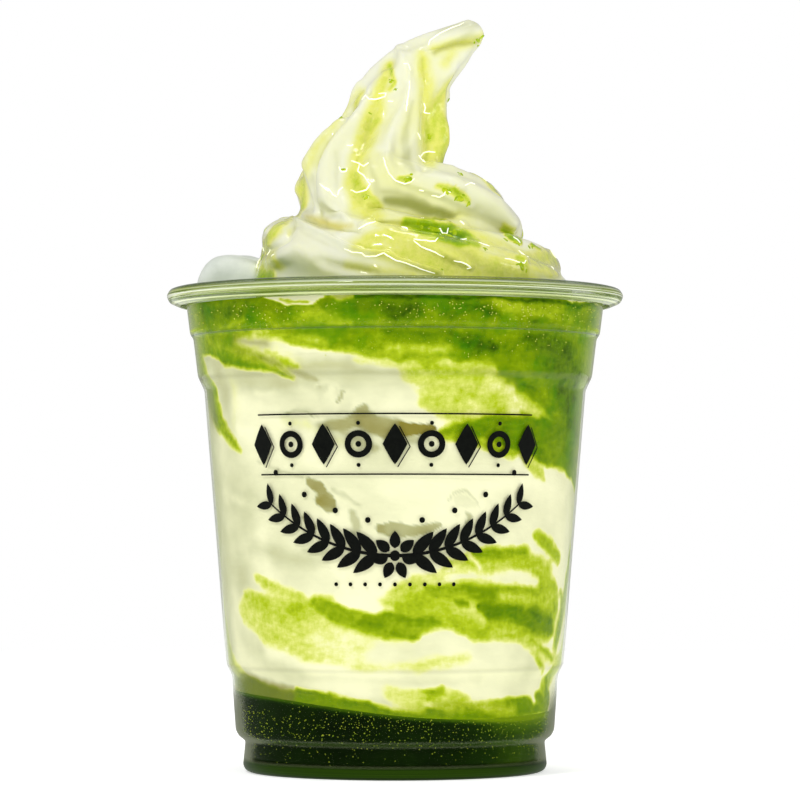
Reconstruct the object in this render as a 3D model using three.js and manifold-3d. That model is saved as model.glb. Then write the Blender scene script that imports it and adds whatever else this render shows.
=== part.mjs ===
// A clear plastic cold cup filled in layers: dark green syrup at the foot, soft serve,
// a layer of bright green syrup, and a lobed soft-serve swirl that stands out of the
// cup beside a piece of ice. Millimetres, +Z up, origin at the middle of the cup's foot.
// The front, where the swirl's peak leans to the right, faces -Y.
import * as THREE from "three";
import { mergeVertices } from "three/addons/utils/BufferGeometryUtils.js";
import { RoundedBoxGeometry } from "three/addons/geometries/RoundedBoxGeometry.js";
import Module from "manifold-3d";

const wasm = await Module();
wasm.setup();

// ---- Driving dimensions -----------------------------------------------------

const grain = 0.01; // the finest step between two points of a cut solid

const cup = {
  sides: 48, // facets round the wall
  wall: 0.7, // sheet thickness
  gap: 0.3, // clearance between the wall and what fills it
  height: 103.6,
  footRadius: 32.6,
  footRingInner: 28.6, // the flat ring that the cup stands on
  footRingOuter: 31.2,
  punt: 1.6, // how far the middle of the underside is raised
};

// The outside of the wall, from the foot's corner to just under the rim: [radius, height].
const wallOutline = [
  [cup.footRadius, 1.5],
  [32.1, 6.6],
  [33.6, 7.8], // the stacking ledge over the foot
  [34.2, 9.0],
  [35.0, 20.4],
  [36.2, 23.0], // the shoulder between the lower band and the body
  [41.0, 81.6],
  [42.4, 84.6], // the shoulder between the body and the upper band
  [43.4, 92.0],
  [44.1, 93.8], // the small step that holds a lid
  [44.75, 98.8],
];

// The rolled lip's middle line, from the top of the wall, over, and back under.
const lip = {
  sheet: 0.5,
  line: [
    [44.7, 101.6],
    [45.5, 102.9],
    [46.9, 103.35],
    [48.3, 103.0],
    [48.95, 101.9],
    [48.4, 100.7],
    [46.2, 99.8],
  ],
};

// The borders between the layers are tilted and rippled. lowSide is the side where a
// border is lowest, in degrees from the front round by the right.
const layers = {
  gap: 0.3, // between one layer and the next
  darkTop: { middle: 15.7, tilt: 3, lowSide: 53, ripple: 0.5, ripples: 3, phase: 20 },
  creamTop: { middle: 80, tilt: 11, lowSide: 105, ripple: 3.5, ripples: 3, phase: 45 },
  level: 99, // the bright syrup's flat top
};

// The soft-serve rope. It climbs clockwise seen from above, by a quarter turn from each
// stop of the coil to the next, and is then drawn up into a leaning peak.
const rope = {
  startAngle: 100, // degrees from +X
  coil: [
    { out: 20.3, height: 99.5, radius: 8.0 },
    { out: 27.4, height: 101.8, radius: 11.6 },
    { out: 22.6, height: 104.8, radius: 11.7 },
    { out: 19.7, height: 109.8, radius: 10.9 },
    { out: 17.0, height: 113.2, radius: 10.3 },
    { out: 16.9, height: 115.2, radius: 11.3 },
    { out: 11.0, height: 119.4, radius: 12.8 },
  ],
  peak: [
    { place: [-7.6, -7.4, 120.9], radius: 14.9 },
    { place: [-5.4, -3.0, 127.2], radius: 14.9 },
    { place: [-0.6, -0.6, 135.6], radius: 12.3 },
    { place: [1.2, 0.0, 143.6], radius: 10.7 },
    { place: [5.2, 0.0, 150.2], radius: 7.9 },
    { place: [13.0, 0.0, 156.4], radius: 4.9 },
    { place: [17.3, 0.0, 160.4], radius: 2.5 },
  ],
  rings: 74,
  lobes: 6,
  lobeDepth: 0.2, // of the radius
  pointsPerLobe: 5,
  twist: 5.2, // radians from one end to the other
  bendRoom: 0.85, // how near the inside of a bend may come to its centre
  pieces: 7, // no stretch is long enough to run into itself
};
const core = { footRadius: 19, topRadius: 10, high: 121, sides: 24 };

// Bits of pulp in the syrup that lies on the swirl. The front ones are placed by
// [x, z, size] as seen from the front, the others by [x, y, z, size].
const pulp = {
  front: [
    [9.4, 115.8, 2.6],
    [13.4, 113.8, 1.8],
    [12.7, 124.7, 1.9],
    [2.6, 127.5, 1.4],
    [24.6, 115.2, 1.5],
    [27.4, 108.6, 1.5],
    [-11.2, 113.4, 1.5],
  ],
  sides: [
    [17.9, -0.6, 159.7, 1.4],
    [11.2, 0.2, 145.5, 1.7],
    [-12.9, -0.6, 141.6, 1.7],
  ],
  flatness: 0.55,
};

const ice = {
  size: [20, 23, 16],
  round: 5,
  place: [-31.2, 8.0, 102.0],
  turn: [0.12, 0.2, -0.3],
  wallRoom: 0.9, // clearance from the cup's upper band
};

// ---- Solids -----------------------------------------------------------------

// A geometry as a solid that can be joined and cut.
function solidOf(geometry) {
  const bare = new THREE.BufferGeometry();
  bare.setAttribute("position", geometry.getAttribute("position"));
  if (geometry.index) bare.setIndex(geometry.index);
  const merged = mergeVertices(bare, 1e-4);
  const made = new wasm.Manifold(
    new wasm.Mesh({
      numProp: 3,
      vertProperties: merged.attributes.position.array,
      triVerts: new Uint32Array(merged.index.array),
    }),
  );
  if (made.volume() < 0) throw new Error("a solid is inside out");
  return made;
}

// A solid back as a geometry. Its points are rounded to the grain, and the slivers that
// this flattens are left out, as cutting leaves points that are too close to tell apart.
function geometryOf(solid) {
  const { numVert, numProp, vertProperties, triVerts } = solid.getMesh();
  const position = new Float32Array(numVert * 3);
  for (let i = 0; i < numVert; i++) {
    const point = vertProperties.subarray(i * numProp, i * numProp + 3);
    position.set(point.map((value) => Math.round(value / grain) * grain), i * 3);
  }
  const rough = new THREE.BufferGeometry();
  rough.setAttribute("position", new THREE.BufferAttribute(position, 3));
  rough.setIndex(new THREE.BufferAttribute(triVerts, 1));
  const geometry = mergeVertices(rough, grain / 2);
  const corners = geometry.index.array;
  const index = [];
  for (let i = 0; i < corners.length; i += 3) {
    const [a, b, c] = corners.subarray(i, i + 3);
    if (a !== b && b !== c && c !== a) index.push(a, b, c);
  }
  geometry.setIndex(index);
  geometry.computeVertexNormals();
  return geometry;
}

// The biggest piece of a solid: cutting can leave crumbs beside it.
function mainPiece(solid) {
  return solid.decompose().reduce((a, b) => (b.volume() > a.volume() ? b : a));
}

// An outline of [radius, height] points turned about Z. It starts and ends on the axis,
// with the material on the left of the way along it.
function turned(outline, sides) {
  const points = outline.map(([radius, height]) => new THREE.Vector2(radius, height));
  return new THREE.LatheGeometry(points, sides).rotateX(Math.PI / 2);
}

// A cylinder on the Z axis.
function drum(radius, low, high, sides) {
  const outline = [
    [0, low],
    [radius, low],
    [radius, high],
    [0, high],
  ];
  return solidOf(turned(outline, sides));
}

// ---- Cup --------------------------------------------------------------------

// The wall's outer radius at a height, between the foot and the rim.
function wallRadius(height) {
  const last = wallOutline.length - 1;
  for (let i = 0; i < last; i++) {
    const [r0, z0] = wallOutline[i];
    const [r1, z1] = wallOutline[i + 1];
    if (height <= z1) return r0 + ((r1 - r0) * (height - z0)) / (z1 - z0);
  }
  return wallOutline[last][0];
}

// The lip's middle line moved sideways by an offset, positive to the outside of the roll.
function lipSide(offset) {
  const line = lip.line.map(([r, z]) => new THREE.Vector2(r, z));
  return line.map((point, i) => {
    const before = line[Math.max(i - 1, 0)];
    const after = line[Math.min(i + 1, line.length - 1)];
    const along = after.clone().sub(before).normalize();
    return [point.x - along.y * offset, point.y + along.x * offset];
  });
}

function makeCup() {
  const inner = wallOutline.slice(1).map(([r, z]) => [r - cup.wall, z]);
  const floor = cup.punt + cup.wall;
  const outline = [
    [0, cup.punt],
    [cup.footRingInner - 1.6, cup.punt],
    [cup.footRingInner, 0],
    [cup.footRingOuter, 0],
    [cup.footRadius - 0.45, 0.5],
    ...wallOutline,
    ...lipSide(-lip.sheet / 2),
    ...lipSide(lip.sheet / 2).reverse(),
    ...inner.reverse(),
    [cup.footRadius - cup.wall - 0.2, floor + 0.9],
    [cup.footRadius - cup.wall - 1.1, floor],
    [0, floor],
  ];
  return turned(outline, cup.sides);
}

// ---- What fills the cup -----------------------------------------------------

// Everything inside the cup's wall and above its base, short of it by the gap.
function makeInside() {
  const short = cup.wall + cup.gap;
  const floor = cup.punt + cup.wall + cup.gap;
  const side = wallOutline.slice(1).map(([r, z]) => [r - short, z]);
  const outline = [
    [0, floor],
    [cup.footRadius - short - 1.2, floor],
    [cup.footRadius - short - 0.3, floor + 1.0],
    ...side,
    [wallRadius(cup.height) - short, cup.height],
    [0, cup.height],
  ];
  return solidOf(turned(outline, cup.sides));
}

// The height of the border between two layers at a place.
function borderHeight(border, x, y) {
  const { degToRad } = THREE.MathUtils;
  const reach = Math.hypot(x, y) / wallRadius(border.middle);
  const turn = Math.atan2(x, -y) - degToRad(border.lowSide);
  const ripple = border.ripple * Math.sin(border.ripples * turn + degToRad(border.phase));
  return border.middle - reach * border.tilt * Math.cos(turn) + reach * reach * ripple;
}

// Everything under a border that is shifted up or down, out past the wall.
function slabUnder(border, shift) {
  const rings = 4;
  const sides = cup.sides;
  const radius = 1.15 * wallRadius(border.middle);
  const depth = -10;
  const position = [0, 0, borderHeight(border, 0, 0) + shift, 0, 0, depth];
  const index = [];
  for (let ring = 1; ring <= rings + 1; ring++) {
    for (let side = 0; side < sides; side++) {
      const angle = (2 * Math.PI * side) / sides;
      const out = (radius * Math.min(ring, rings)) / rings;
      const x = out * Math.cos(angle);
      const y = out * Math.sin(angle);
      position.push(x, y, ring > rings ? depth : borderHeight(border, x, y) + shift);
    }
  }
  const at = (ring, side) => 2 + (ring - 1) * sides + (side % sides);
  for (let side = 0; side < sides; side++) {
    index.push(0, at(1, side), at(1, side + 1));
    index.push(1, at(rings + 1, side + 1), at(rings + 1, side));
    for (let ring = 1; ring <= rings; ring++) {
      index.push(at(ring, side), at(ring + 1, side), at(ring + 1, side + 1));
      index.push(at(ring, side), at(ring + 1, side + 1), at(ring, side + 1));
    }
  }
  const geometry = new THREE.BufferGeometry();
  geometry.setAttribute("position", new THREE.Float32BufferAttribute(position, 3));
  geometry.setIndex(index);
  return solidOf(geometry);
}

function makeDarkSyrup() {
  return makeInside().intersect(slabUnder(layers.darkTop, -layers.gap / 2));
}

function makeSoftServe() {
  const below = slabUnder(layers.creamTop, -layers.gap / 2);
  const lower = slabUnder(layers.darkTop, layers.gap / 2);
  return makeInside().intersect(below).subtract(lower);
}

function makeBrightSyrup() {
  const below = drum(2 * cup.footRadius, -10, layers.level, cup.sides);
  const lower = slabUnder(layers.creamTop, layers.gap / 2);
  return makeInside().intersect(below).subtract(lower).subtract(makeIceBlock(cup.gap));
}

// ---- Swirl ------------------------------------------------------------------

// The curvature of a line at a share of its length, as a vector towards the bend's centre.
function bendOf(line, share) {
  const step = 0.012;
  const middle = THREE.MathUtils.clamp(share, step, 1 - step);
  const before = line.getTangentAt(middle - step);
  const after = line.getTangentAt(middle + step);
  return after.sub(before).divideScalar(2 * step * line.getLength());
}

// The rope's stops, with one more between each two of the coil's.
function ropeStops() {
  const coilStop = (turns) => {
    const before = rope.coil[Math.floor(turns)];
    const after = rope.coil[Math.ceil(turns)];
    const middle = (name) => (before[name] + after[name]) / 2;
    const angle = THREE.MathUtils.degToRad(rope.startAngle - 90 * turns);
    const out = middle("out");
    const place = [out * Math.cos(angle), out * Math.sin(angle), middle("height")];
    return { place, radius: middle("radius") };
  };
  const count = 2 * rope.coil.length - 1;
  const coil = Array.from({ length: count }, (_, i) => coilStop(i / 2));
  return [...coil, ...rope.peak];
}

// The rings of points round the rope, each with its centre. The section is lobed and
// turns slowly on its way. On the inside of a bend it stays short of the bend's centre,
// so that the rope never folds into itself.
function ropeRings(grow) {
  const stops = ropeStops();
  const places = stops.map(({ place }) => new THREE.Vector3(...place));
  const line = new THREE.CatmullRomCurve3(places, false, "centripetal");
  const thickness = new THREE.CatmullRomCurve3(
    stops.map(({ radius }, i) => new THREE.Vector3(i, radius, 0)),
  );
  line.arcLengthDivisions = 800;
  const frames = line.computeFrenetFrames(rope.rings, false);
  const around = rope.lobes * rope.pointsPerLobe;
  const rings = [];
  for (let ring = 0; ring <= rope.rings; ring++) {
    const share = ring / rope.rings;
    const t = line.getUtoTmapping(share);
    const centre = line.getPoint(t);
    const radius = thickness.getPoint(t).y;
    const bend = bendOf(line, share);
    const points = [];
    for (let i = 0; i < around; i++) {
      const angle = (2 * Math.PI * i) / around;
      const lobe = Math.abs(Math.cos((rope.lobes * angle) / 2));
      const phase = angle + rope.twist * share;
      const out = frames.normals[ring].clone().multiplyScalar(Math.cos(phase));
      out.addScaledVector(frames.binormals[ring], Math.sin(phase));
      const inwards = out.dot(bend);
      const most = inwards > 0 ? rope.bendRoom / inwards : Infinity;
      const reach = Math.min(radius * (1 - rope.lobeDepth * (1 - lobe)) + grow, most);
      points.push(centre.clone().addScaledVector(out, reach));
    }
    rings.push({ centre, points, radius, ahead: frames.tangents[ring] });
  }
  return rings;
}

// A closed solid through some of the rope's rings. Its ends are flat where the next
// stretch goes on, and pointed at the ends of the rope.
function stretchOf(rings, first, last, grow) {
  const position = [];
  const index = [];
  for (let ring = first; ring <= last; ring++) {
    for (const point of rings[ring].points) position.push(...point);
  }
  const around = rings[0].points.length;
  const ends = [
    [first, first === 0 ? -1 : 0],
    [last, last === rings.length - 1 ? 1 : 0],
  ];
  for (const [ring, out] of ends) {
    const { centre, radius, ahead } = rings[ring];
    const cap = out * (0.5 * radius + grow);
    position.push(...centre.clone().addScaledVector(ahead, cap));
  }
  const count = last - first + 1;
  const at = (ring, i) => ring * around + (i % around);
  const start = count * around;
  for (let i = 0; i < around; i++) {
    index.push(start, at(0, i + 1), at(0, i));
    index.push(start + 1, at(count - 1, i), at(count - 1, i + 1));
    for (let ring = 0; ring < count - 1; ring++) {
      index.push(at(ring, i), at(ring, i + 1), at(ring + 1, i + 1));
      index.push(at(ring, i), at(ring + 1, i + 1), at(ring + 1, i));
    }
  }
  const geometry = new THREE.BufferGeometry();
  geometry.setAttribute("position", new THREE.Float32BufferAttribute(position, 3));
  geometry.setIndex(index);
  return solidOf(geometry);
}

// The whole rope with its middle filled, flat underneath where it lies on the syrup.
function makeRope(grow) {
  const rings = ropeRings(grow);
  const outline = [
    [0, layers.level - 5],
    [core.footRadius + grow, layers.level - 5],
    [core.topRadius + grow, core.high],
    [0, core.high],
  ];
  let whole = solidOf(turned(outline, core.sides));
  for (let i = 0; i < rope.pieces; i++) {
    const first = Math.round((i * rope.rings) / rope.pieces);
    const last = Math.round(((i + 1) * rope.rings) / rope.pieces);
    whole = whole.add(stretchOf(rings, first, last, grow));
  }
  const below = drum(2 * cup.footRadius, 0, layers.level + layers.gap, cup.sides);
  return whole.subtract(below);
}

// A flattened bit of pulp, lying on the surface that it is pressed into.
function pulpBit(place, size, outwards) {
  const bit = new THREE.IcosahedronGeometry(size, 1);
  bit.scale(1, pulp.flatness, 0.8);
  const lie = new THREE.Quaternion();
  lie.setFromUnitVectors(new THREE.Vector3(0, 1, 0), outwards.clone().normalize());
  bit.applyQuaternion(lie).translate(place.x, place.y, place.z);
  return solidOf(bit);
}

// Where a line from the front first meets a surface.
function frontOf(surface, x, z) {
  const ray = new THREE.Raycaster(new THREE.Vector3(x, -100, z), new THREE.Vector3(0, 1, 0));
  const [hit] = ray.intersectObject(surface);
  if (!hit) throw new Error(`nothing in front at ${x}, ${z}`);
  return hit;
}

function makeSwirl() {
  let swirl = makeRope(0);
  const surface = new THREE.Mesh(geometryOf(swirl));
  for (const [x, z, size] of pulp.front) {
    const { point, face } = frontOf(surface, x, z);
    swirl = swirl.add(pulpBit(point, size, face.normal));
  }
  for (const [x, y, z, size] of pulp.sides) {
    const outwards = new THREE.Vector3(Math.sign(x), 0, 0);
    swirl = swirl.add(pulpBit(new THREE.Vector3(x, y, z), size, outwards));
  }
  return mainPiece(swirl);
}

// ---- Ice --------------------------------------------------------------------

// The piece of ice, made bigger by grow on every side.
function makeIceBlock(grow) {
  const [length, width, height] = ice.size.map((edge) => edge + 2 * grow);
  const block = new RoundedBoxGeometry(length, width, height, 2, ice.round);
  const turn = new THREE.Quaternion().setFromEuler(new THREE.Euler(...ice.turn));
  return solidOf(block.applyQuaternion(turn).translate(...ice.place));
}

function makeIce() {
  const { wall } = cup;
  const room = wallRadius(layers.level) - wall - ice.wallRoom;
  const whole = makeIceBlock(0).intersect(drum(room, 50, 150, cup.sides));
  return mainPiece(whole.subtract(makeRope(cup.gap)));
}

// ---- The whole --------------------------------------------------------------

const looks = {
  clear: { color: 0xe6eee8, roughness: 0.08, transparent: true, opacity: 0.3 },
  darkSyrup: { color: 0x12300a, roughness: 0.15 },
  softServe: { color: 0xf1efcf, roughness: 0.45 },
  brightSyrup: { color: 0x76a80a, roughness: 0.12 },
  ice: { color: 0xdfe6e6, roughness: 0.15, transparent: true, opacity: 0.6 },
};

function piece(name, geometry, look) {
  const material = new THREE.MeshStandardMaterial({ metalness: 0, ...looks[look] });
  const mesh = new THREE.Mesh(geometry, material);
  mesh.name = name;
  return mesh;
}

const group = new THREE.Group();
group.add(
  piece("cup", makeCup(), "clear"),
  piece("dark_syrup", geometryOf(makeDarkSyrup()), "darkSyrup"),
  piece("soft_serve", geometryOf(makeSoftServe()), "softServe"),
  piece("bright_syrup", geometryOf(makeBrightSyrup()), "brightSyrup"),
  piece("swirl", geometryOf(makeSwirl()), "softServe"),
  piece("ice", geometryOf(makeIce()), "ice"),
);

export default group;
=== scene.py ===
import math
import random

import bpy
import numpy as np
from mathutils import Euler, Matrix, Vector, noise


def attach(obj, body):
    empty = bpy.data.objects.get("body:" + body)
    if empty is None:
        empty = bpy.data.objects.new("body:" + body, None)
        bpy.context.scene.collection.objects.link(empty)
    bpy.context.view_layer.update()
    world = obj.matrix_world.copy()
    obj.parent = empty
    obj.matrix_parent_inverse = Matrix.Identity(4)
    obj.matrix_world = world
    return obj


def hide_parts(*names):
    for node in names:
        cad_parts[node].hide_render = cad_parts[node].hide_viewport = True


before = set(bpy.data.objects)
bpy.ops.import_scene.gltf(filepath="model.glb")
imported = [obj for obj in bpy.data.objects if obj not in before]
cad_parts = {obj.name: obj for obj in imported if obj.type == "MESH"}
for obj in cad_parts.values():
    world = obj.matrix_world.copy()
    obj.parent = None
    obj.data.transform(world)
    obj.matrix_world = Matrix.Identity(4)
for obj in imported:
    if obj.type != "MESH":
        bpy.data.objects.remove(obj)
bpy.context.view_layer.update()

# A clear cold cup of soft serve and green syrup with a swirl on top. Lengths in the
# dictionaries are millimetres, and angles go round from the front by the right.
mm = 0.001
turn = 2 * math.pi


# A shader socket that takes part in plain arithmetic
class Flow:
    def __init__(self, finish, socket):
        self.finish = finish
        self.socket = socket

    def maths(self, operation, first, second):
        return self.finish.node("ShaderNodeMath", {"operation": operation}, {0: first, 1: second})

    def __add__(self, other):
        return self.maths("ADD", self, other)

    __radd__ = __add__

    def __sub__(self, other):
        return self.maths("SUBTRACT", self, other)

    def __rsub__(self, other):
        return self.maths("SUBTRACT", other, self)

    def __mul__(self, other):
        return self.maths("MULTIPLY", self, other)

    __rmul__ = __mul__

    def __truediv__(self, other):
        return self.maths("DIVIDE", self, other)

    def __pow__(self, other):
        return self.maths("POWER", self, other)


# A material that is being built
class Finish:
    def __init__(self, name):
        self.material = bpy.data.materials.new(name)
        self.material.use_nodes = True
        self.nodes = self.material.node_tree.nodes
        self.links = self.material.node_tree.links
        self.nodes.clear()

    # a node of a kind, its settings first and then what goes into its sockets
    def node(self, kind, settings=None, sockets=None, out=0):
        made = self.nodes.new(kind)
        for name, value in (settings or {}).items():
            if name == "stops":
                self.fillRamp(made.color_ramp, value)
            else:
                setattr(made, name, value)
        for name, value in (sockets or {}).items():
            if isinstance(value, Flow):
                self.links.new(value.socket, made.inputs[name])
            else:
                made.inputs[name].default_value = value
        return Flow(self, made.outputs[out])

    def fillRamp(self, ramp, stops):
        while len(ramp.elements) < len(stops):
            ramp.elements.new(0.5)
        for element, (place, tint) in zip(ramp.elements, stops):
            element.position = place
            element.color = linear(tint)

    def place(self):
        return self.node("ShaderNodeTexCoord", out="Object")

    # how high a place is, in millimetres
    def height(self):
        return self.node("ShaderNodeSeparateXYZ", {}, {0: self.place()}, out="Z") / mm

    def field(self, name):
        return self.node("ShaderNodeAttribute", {"attribute_name": name}, out="Fac")

    def grain(self, where, size, detail=4, rough=0.55):
        sockets = {"Vector": where, "Scale": 1 / (size * mm), "Detail": detail, "Roughness": rough}
        return self.node("ShaderNodeTexNoise", {}, sockets, out="Fac")

    def stretched(self, where, scale):
        return self.node("ShaderNodeMapping", {}, {"Vector": where, "Scale": scale})

    def ramp(self, amount, stops):
        return self.node("ShaderNodeValToRGB", {"stops": stops}, {"Fac": amount})

    def blended(self, amount, first, second):
        settings = {"data_type": "RGBA", "clamp_factor": True}
        return self.node("ShaderNodeMix", settings, {0: amount, 6: first, 7: second}, out=2)

    def smoothed(self, amount, low, high):
        settings = {"interpolation_type": "SMOOTHSTEP"}
        sockets = {"Value": amount, "From Min": low, "From Max": high}
        return self.node("ShaderNodeMapRange", settings, sockets)

    def bump(self, height, depth, strength=1.0):
        return self.node(
            "ShaderNodeBump", {}, {"Height": height, "Distance": depth * mm, "Strength": strength}
        )

    def surface(self, **sockets):
        values = {name.replace("_", " "): value for name, value in sockets.items()}
        return self.node("ShaderNodeBsdfPrincipled", {}, values)

    def done(self, shader):
        output = self.nodes.new("ShaderNodeOutputMaterial")
        self.links.new(shader.socket, output.inputs["Surface"])
        return self.material


# An sRGB colour of 0 to 255 as Blender's linear colour
def linear(tint):
    shares = [value / 255 for value in tint]
    return [s / 12.92 if s <= 0.04045 else ((s + 0.055) / 1.055) ** 2.4 for s in shares] + [1]


def selectOnly(piece=None):
    if bpy.context.object and bpy.context.object.mode != "OBJECT":
        bpy.ops.object.mode_set(mode="OBJECT")
    bpy.ops.object.select_all(action="DESELECT")
    if piece:
        piece.select_set(True)
        bpy.context.view_layer.objects.active = piece


def named(name):
    piece = bpy.context.object
    piece.name = name
    piece.data.name = name
    return piece


# Where a piece's points are, in millimetres
def spotsOf(piece):
    flat = np.empty(3 * len(piece.data.vertices), np.float32)
    piece.data.vertices.foreach_get("co", flat)
    return flat.reshape(-1, 3).astype(float) / mm


def moveSpots(piece, spots):
    piece.data.vertices.foreach_set("co", (spots * mm).astype(np.float32).ravel())
    piece.data.update()


def normalsOf(piece):
    flat = np.empty(3 * len(piece.data.vertices), np.float32)
    piece.data.vertex_normals.foreach_get("vector", flat)
    return flat.reshape(-1, 3).astype(float)


def giveField(piece, name, values):
    field = piece.data.attributes.new(name, "FLOAT", "POINT")
    field.data.foreach_set("value", values.astype(np.float32))


# Smooth noise of -1 to 1 at each spot, of that size in millimetres
def noiseAt(spots, size, layers=3, seed=0):
    shift = Vector((17.3 * seed, -9.1 * seed, 5.7 * seed))
    values = [noise.fractal(Vector(spot) / size + shift, 1.0, 2.0, layers) for spot in spots]
    return np.array(values)


def eased(values):
    held = np.clip(values, 0, 1)
    return held * held * (3 - 2 * held)


def applyModifier(piece, kind, **settings):
    selectOnly(piece)
    modifier = piece.modifiers.new(kind.lower(), kind)
    for name, value in settings.items():
        setattr(modifier, name, value)
    bpy.ops.object.modifier_apply(modifier=modifier.name)


def shadeSmooth(piece, degrees=180):
    selectOnly(piece)
    if degrees < 180:
        bpy.ops.object.shade_smooth_by_angle(angle=math.radians(degrees))
    else:
        bpy.ops.object.shade_smooth()


def paintOver(piece, material):
    piece.data.materials.clear()
    piece.data.materials.append(material)


# An outline of (radius, height) points turned round the cup's axis
def turned(name, outline, steps):
    selectOnly()
    bpy.ops.mesh.primitive_plane_add(size=mm)
    bpy.ops.object.mode_set(mode="EDIT")
    bpy.ops.mesh.merge(type="CENTER")
    bpy.ops.transform.translate(value=(outline[0][0] * mm, 0, outline[0][1] * mm))
    for (r0, z0), (r1, z1) in zip(outline, outline[1:]):
        step = {"value": ((r1 - r0) * mm, 0, (z1 - z0) * mm)}
        bpy.ops.mesh.extrude_region_move(TRANSFORM_OT_translate=step)
    bpy.ops.mesh.select_all(action="SELECT")
    bpy.ops.mesh.spin(steps=steps, angle=turn, center=(0, 0, 0), axis=(0, 0, 1))
    bpy.ops.mesh.select_all(action="SELECT")
    bpy.ops.mesh.remove_doubles(threshold=0.002 * mm)
    bpy.ops.mesh.normals_make_consistent(inside=False)
    bpy.ops.object.mode_set(mode="OBJECT")
    return named(name)


# The outline with its corners rounded off
def rounded(outline, radius, points=4):
    made = [outline[0]]
    for before, corner, after in zip(outline, outline[1:], outline[2:]):
        here = Vector(corner)
        back = Vector(before) - here
        on = Vector(after) - here
        reach = min(radius, 0.45 * back.length, 0.45 * on.length)
        start = here + back.normalized() * reach
        end = here + on.normalized() * reach
        for i in range(points):
            t = i / (points - 1)
            made.append(tuple(start * (1 - t) ** 2 + here * 2 * t * (1 - t) + end * t**2))
    return made + [outline[-1]]


studio = {
    "cameraPlace": (0, -811, 53.4),
    "cameraPitch": 91.855,
    "cameraYaw": -0.076,
    "lens": 169.5,
    "backdrop": 1.0,  # how bright the surroundings look
    "ambient": 0.4,  # and how much light they give
    "floorSize": 1500,
    "floorGlow": 0.56,
    "lights": {  # place, size, power
        "key": ((-300, -560, 640), 90, 1.9),
        "front": ((240, -780, 200), 420, 1.2),
        "right": ((620, -120, 330), 200, 0.5),
        "left": ((-640, 60, 260), 200, 0.4),
        "top": ((60, 120, 760), 160, 0.9),
    },
    "aim": (0, 0, 85),
}


def makeStage():
    scene = bpy.context.scene
    scene.view_settings.view_transform = "Standard"
    world = bpy.data.worlds.new("studio")
    world.use_nodes = True
    scene.world = world
    tree = world.node_tree
    back = tree.nodes["Background"]
    path = tree.nodes.new("ShaderNodeLightPath")
    strength = tree.nodes.new("ShaderNodeMix")
    strength.inputs[2].default_value = studio["ambient"]
    strength.inputs[3].default_value = studio["backdrop"]
    tree.links.new(path.outputs["Is Camera Ray"], strength.inputs[0])
    tree.links.new(strength.outputs[0], back.inputs["Strength"])
    back.inputs["Color"].default_value = (1, 1, 1, 1)

    camera = bpy.data.objects.new("camera", bpy.data.cameras.new("camera"))
    scene.collection.objects.link(camera)
    camera.location = Vector(studio["cameraPlace"]) * mm
    pitch, yaw = math.radians(studio["cameraPitch"]), math.radians(studio["cameraYaw"])
    camera.rotation_euler = (pitch, 0, yaw)
    camera.data.lens = studio["lens"]
    camera.data.sensor_width = 36
    camera.data.clip_start = 0.05
    camera.data.clip_end = 30
    scene.camera = camera

    for name, (place, size, power) in studio["lights"].items():
        data = bpy.data.lights.new(name, "AREA")
        data.size = size * mm
        data.energy = power
        lamp = bpy.data.objects.new(name, data)
        scene.collection.objects.link(lamp)
        lamp.location = Vector(place) * mm
        aim = Vector(studio["aim"]) - Vector(place)
        lamp.rotation_euler = aim.to_track_quat("-Z", "Y").to_euler()
        lamp.visible_glossy = name != "front"

    selectOnly()
    bpy.ops.mesh.primitive_plane_add(size=studio["floorSize"] * mm, location=(0, 0, -0.02 * mm))
    floor = named("floor")
    finish = Finish("floor")
    white = linear((252, 252, 252))
    glow = studio["floorGlow"]
    plain = finish.surface(
        Base_Color=white, Roughness=0.9, Emission_Color=white, Emission_Strength=glow
    )
    paintOver(floor, finish.done(plain))
    print("stage ready")


cup = {
    "steps": 160,
    "sheet": 0.7,
    "wall": [  # outside, radius and height
        (32.6, 1.5),
        (32.1, 6.6),
        (33.6, 7.8),
        (34.2, 9.0),
        (35.0, 20.4),
        (36.2, 23.0),
        (41.0, 81.6),
        (42.4, 84.6),
        (43.4, 92.7),
        (44.1, 93.7),
        (44.75, 98.8),
    ],
    "under": [(0, 1.6), (27.0, 1.6), (28.6, 0), (31.2, 0), (32.15, 0.5)],
    "inside": [(31.7, 3.2), (30.8, 2.3), (0, 2.3)],
    "lip": [
        (44.7, 101.6),
        (45.5, 102.9),
        (46.9, 103.35),
        (48.3, 103.0),
        (48.95, 101.9),
        (48.4, 100.7),
        (46.2, 99.8),
    ],
    "lipSheet": 0.5,
    "soft": 0.5,  # how far a corner is rounded
    "tint": (186, 196, 158),
    "clearShare": 0.003,  # how much of the plastic shows face on
    "edgeShare": 0.4,  # and at its edges
    "lowEdge": 0.9,  # how far the edges beside the dark syrup are dark too
    "highEdge": 0.22,  # and above the shoulder
    "rimShare": 0.2,  # and in the rim, with fine lines round it painted as highlights and seen-through syrup
    "lineShare": 0.3,
    # Painted highlight and shade lines along the wall's ledges and round the rim
    "lightAndShadeLines": [  # height, half height, share and colour
        (94.1, 0.7, 0.1, (190, 212, 40)),
        (93.2, 0.3, 0.5, (56, 96, 0)),
        (83.9, 1.0, 0.16, (132, 138, 88)),
        (22.6, 0.8, 0.14, (140, 142, 100)),
        (7.3, 0.9, 0.24, (76, 104, 40)),
        (100.2, 0.16, 0.3, (220, 230, 170)),
        (100.8, 0.14, 0.4, (104, 130, 10)),
        (101.6, 0.16, 0.5, (244, 248, 232)),
        (102.2, 0.12, 0.5, (120, 142, 30)),
    ],
}


def lipSide(offset):
    line = [Vector(point) for point in cup["lip"]]
    side = []
    for i, point in enumerate(line):
        along = (line[min(i + 1, len(line) - 1)] - line[max(i - 1, 0)]).normalized()
        side.append((point.x - along.y * offset, point.y + along.x * offset))
    return side


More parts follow.
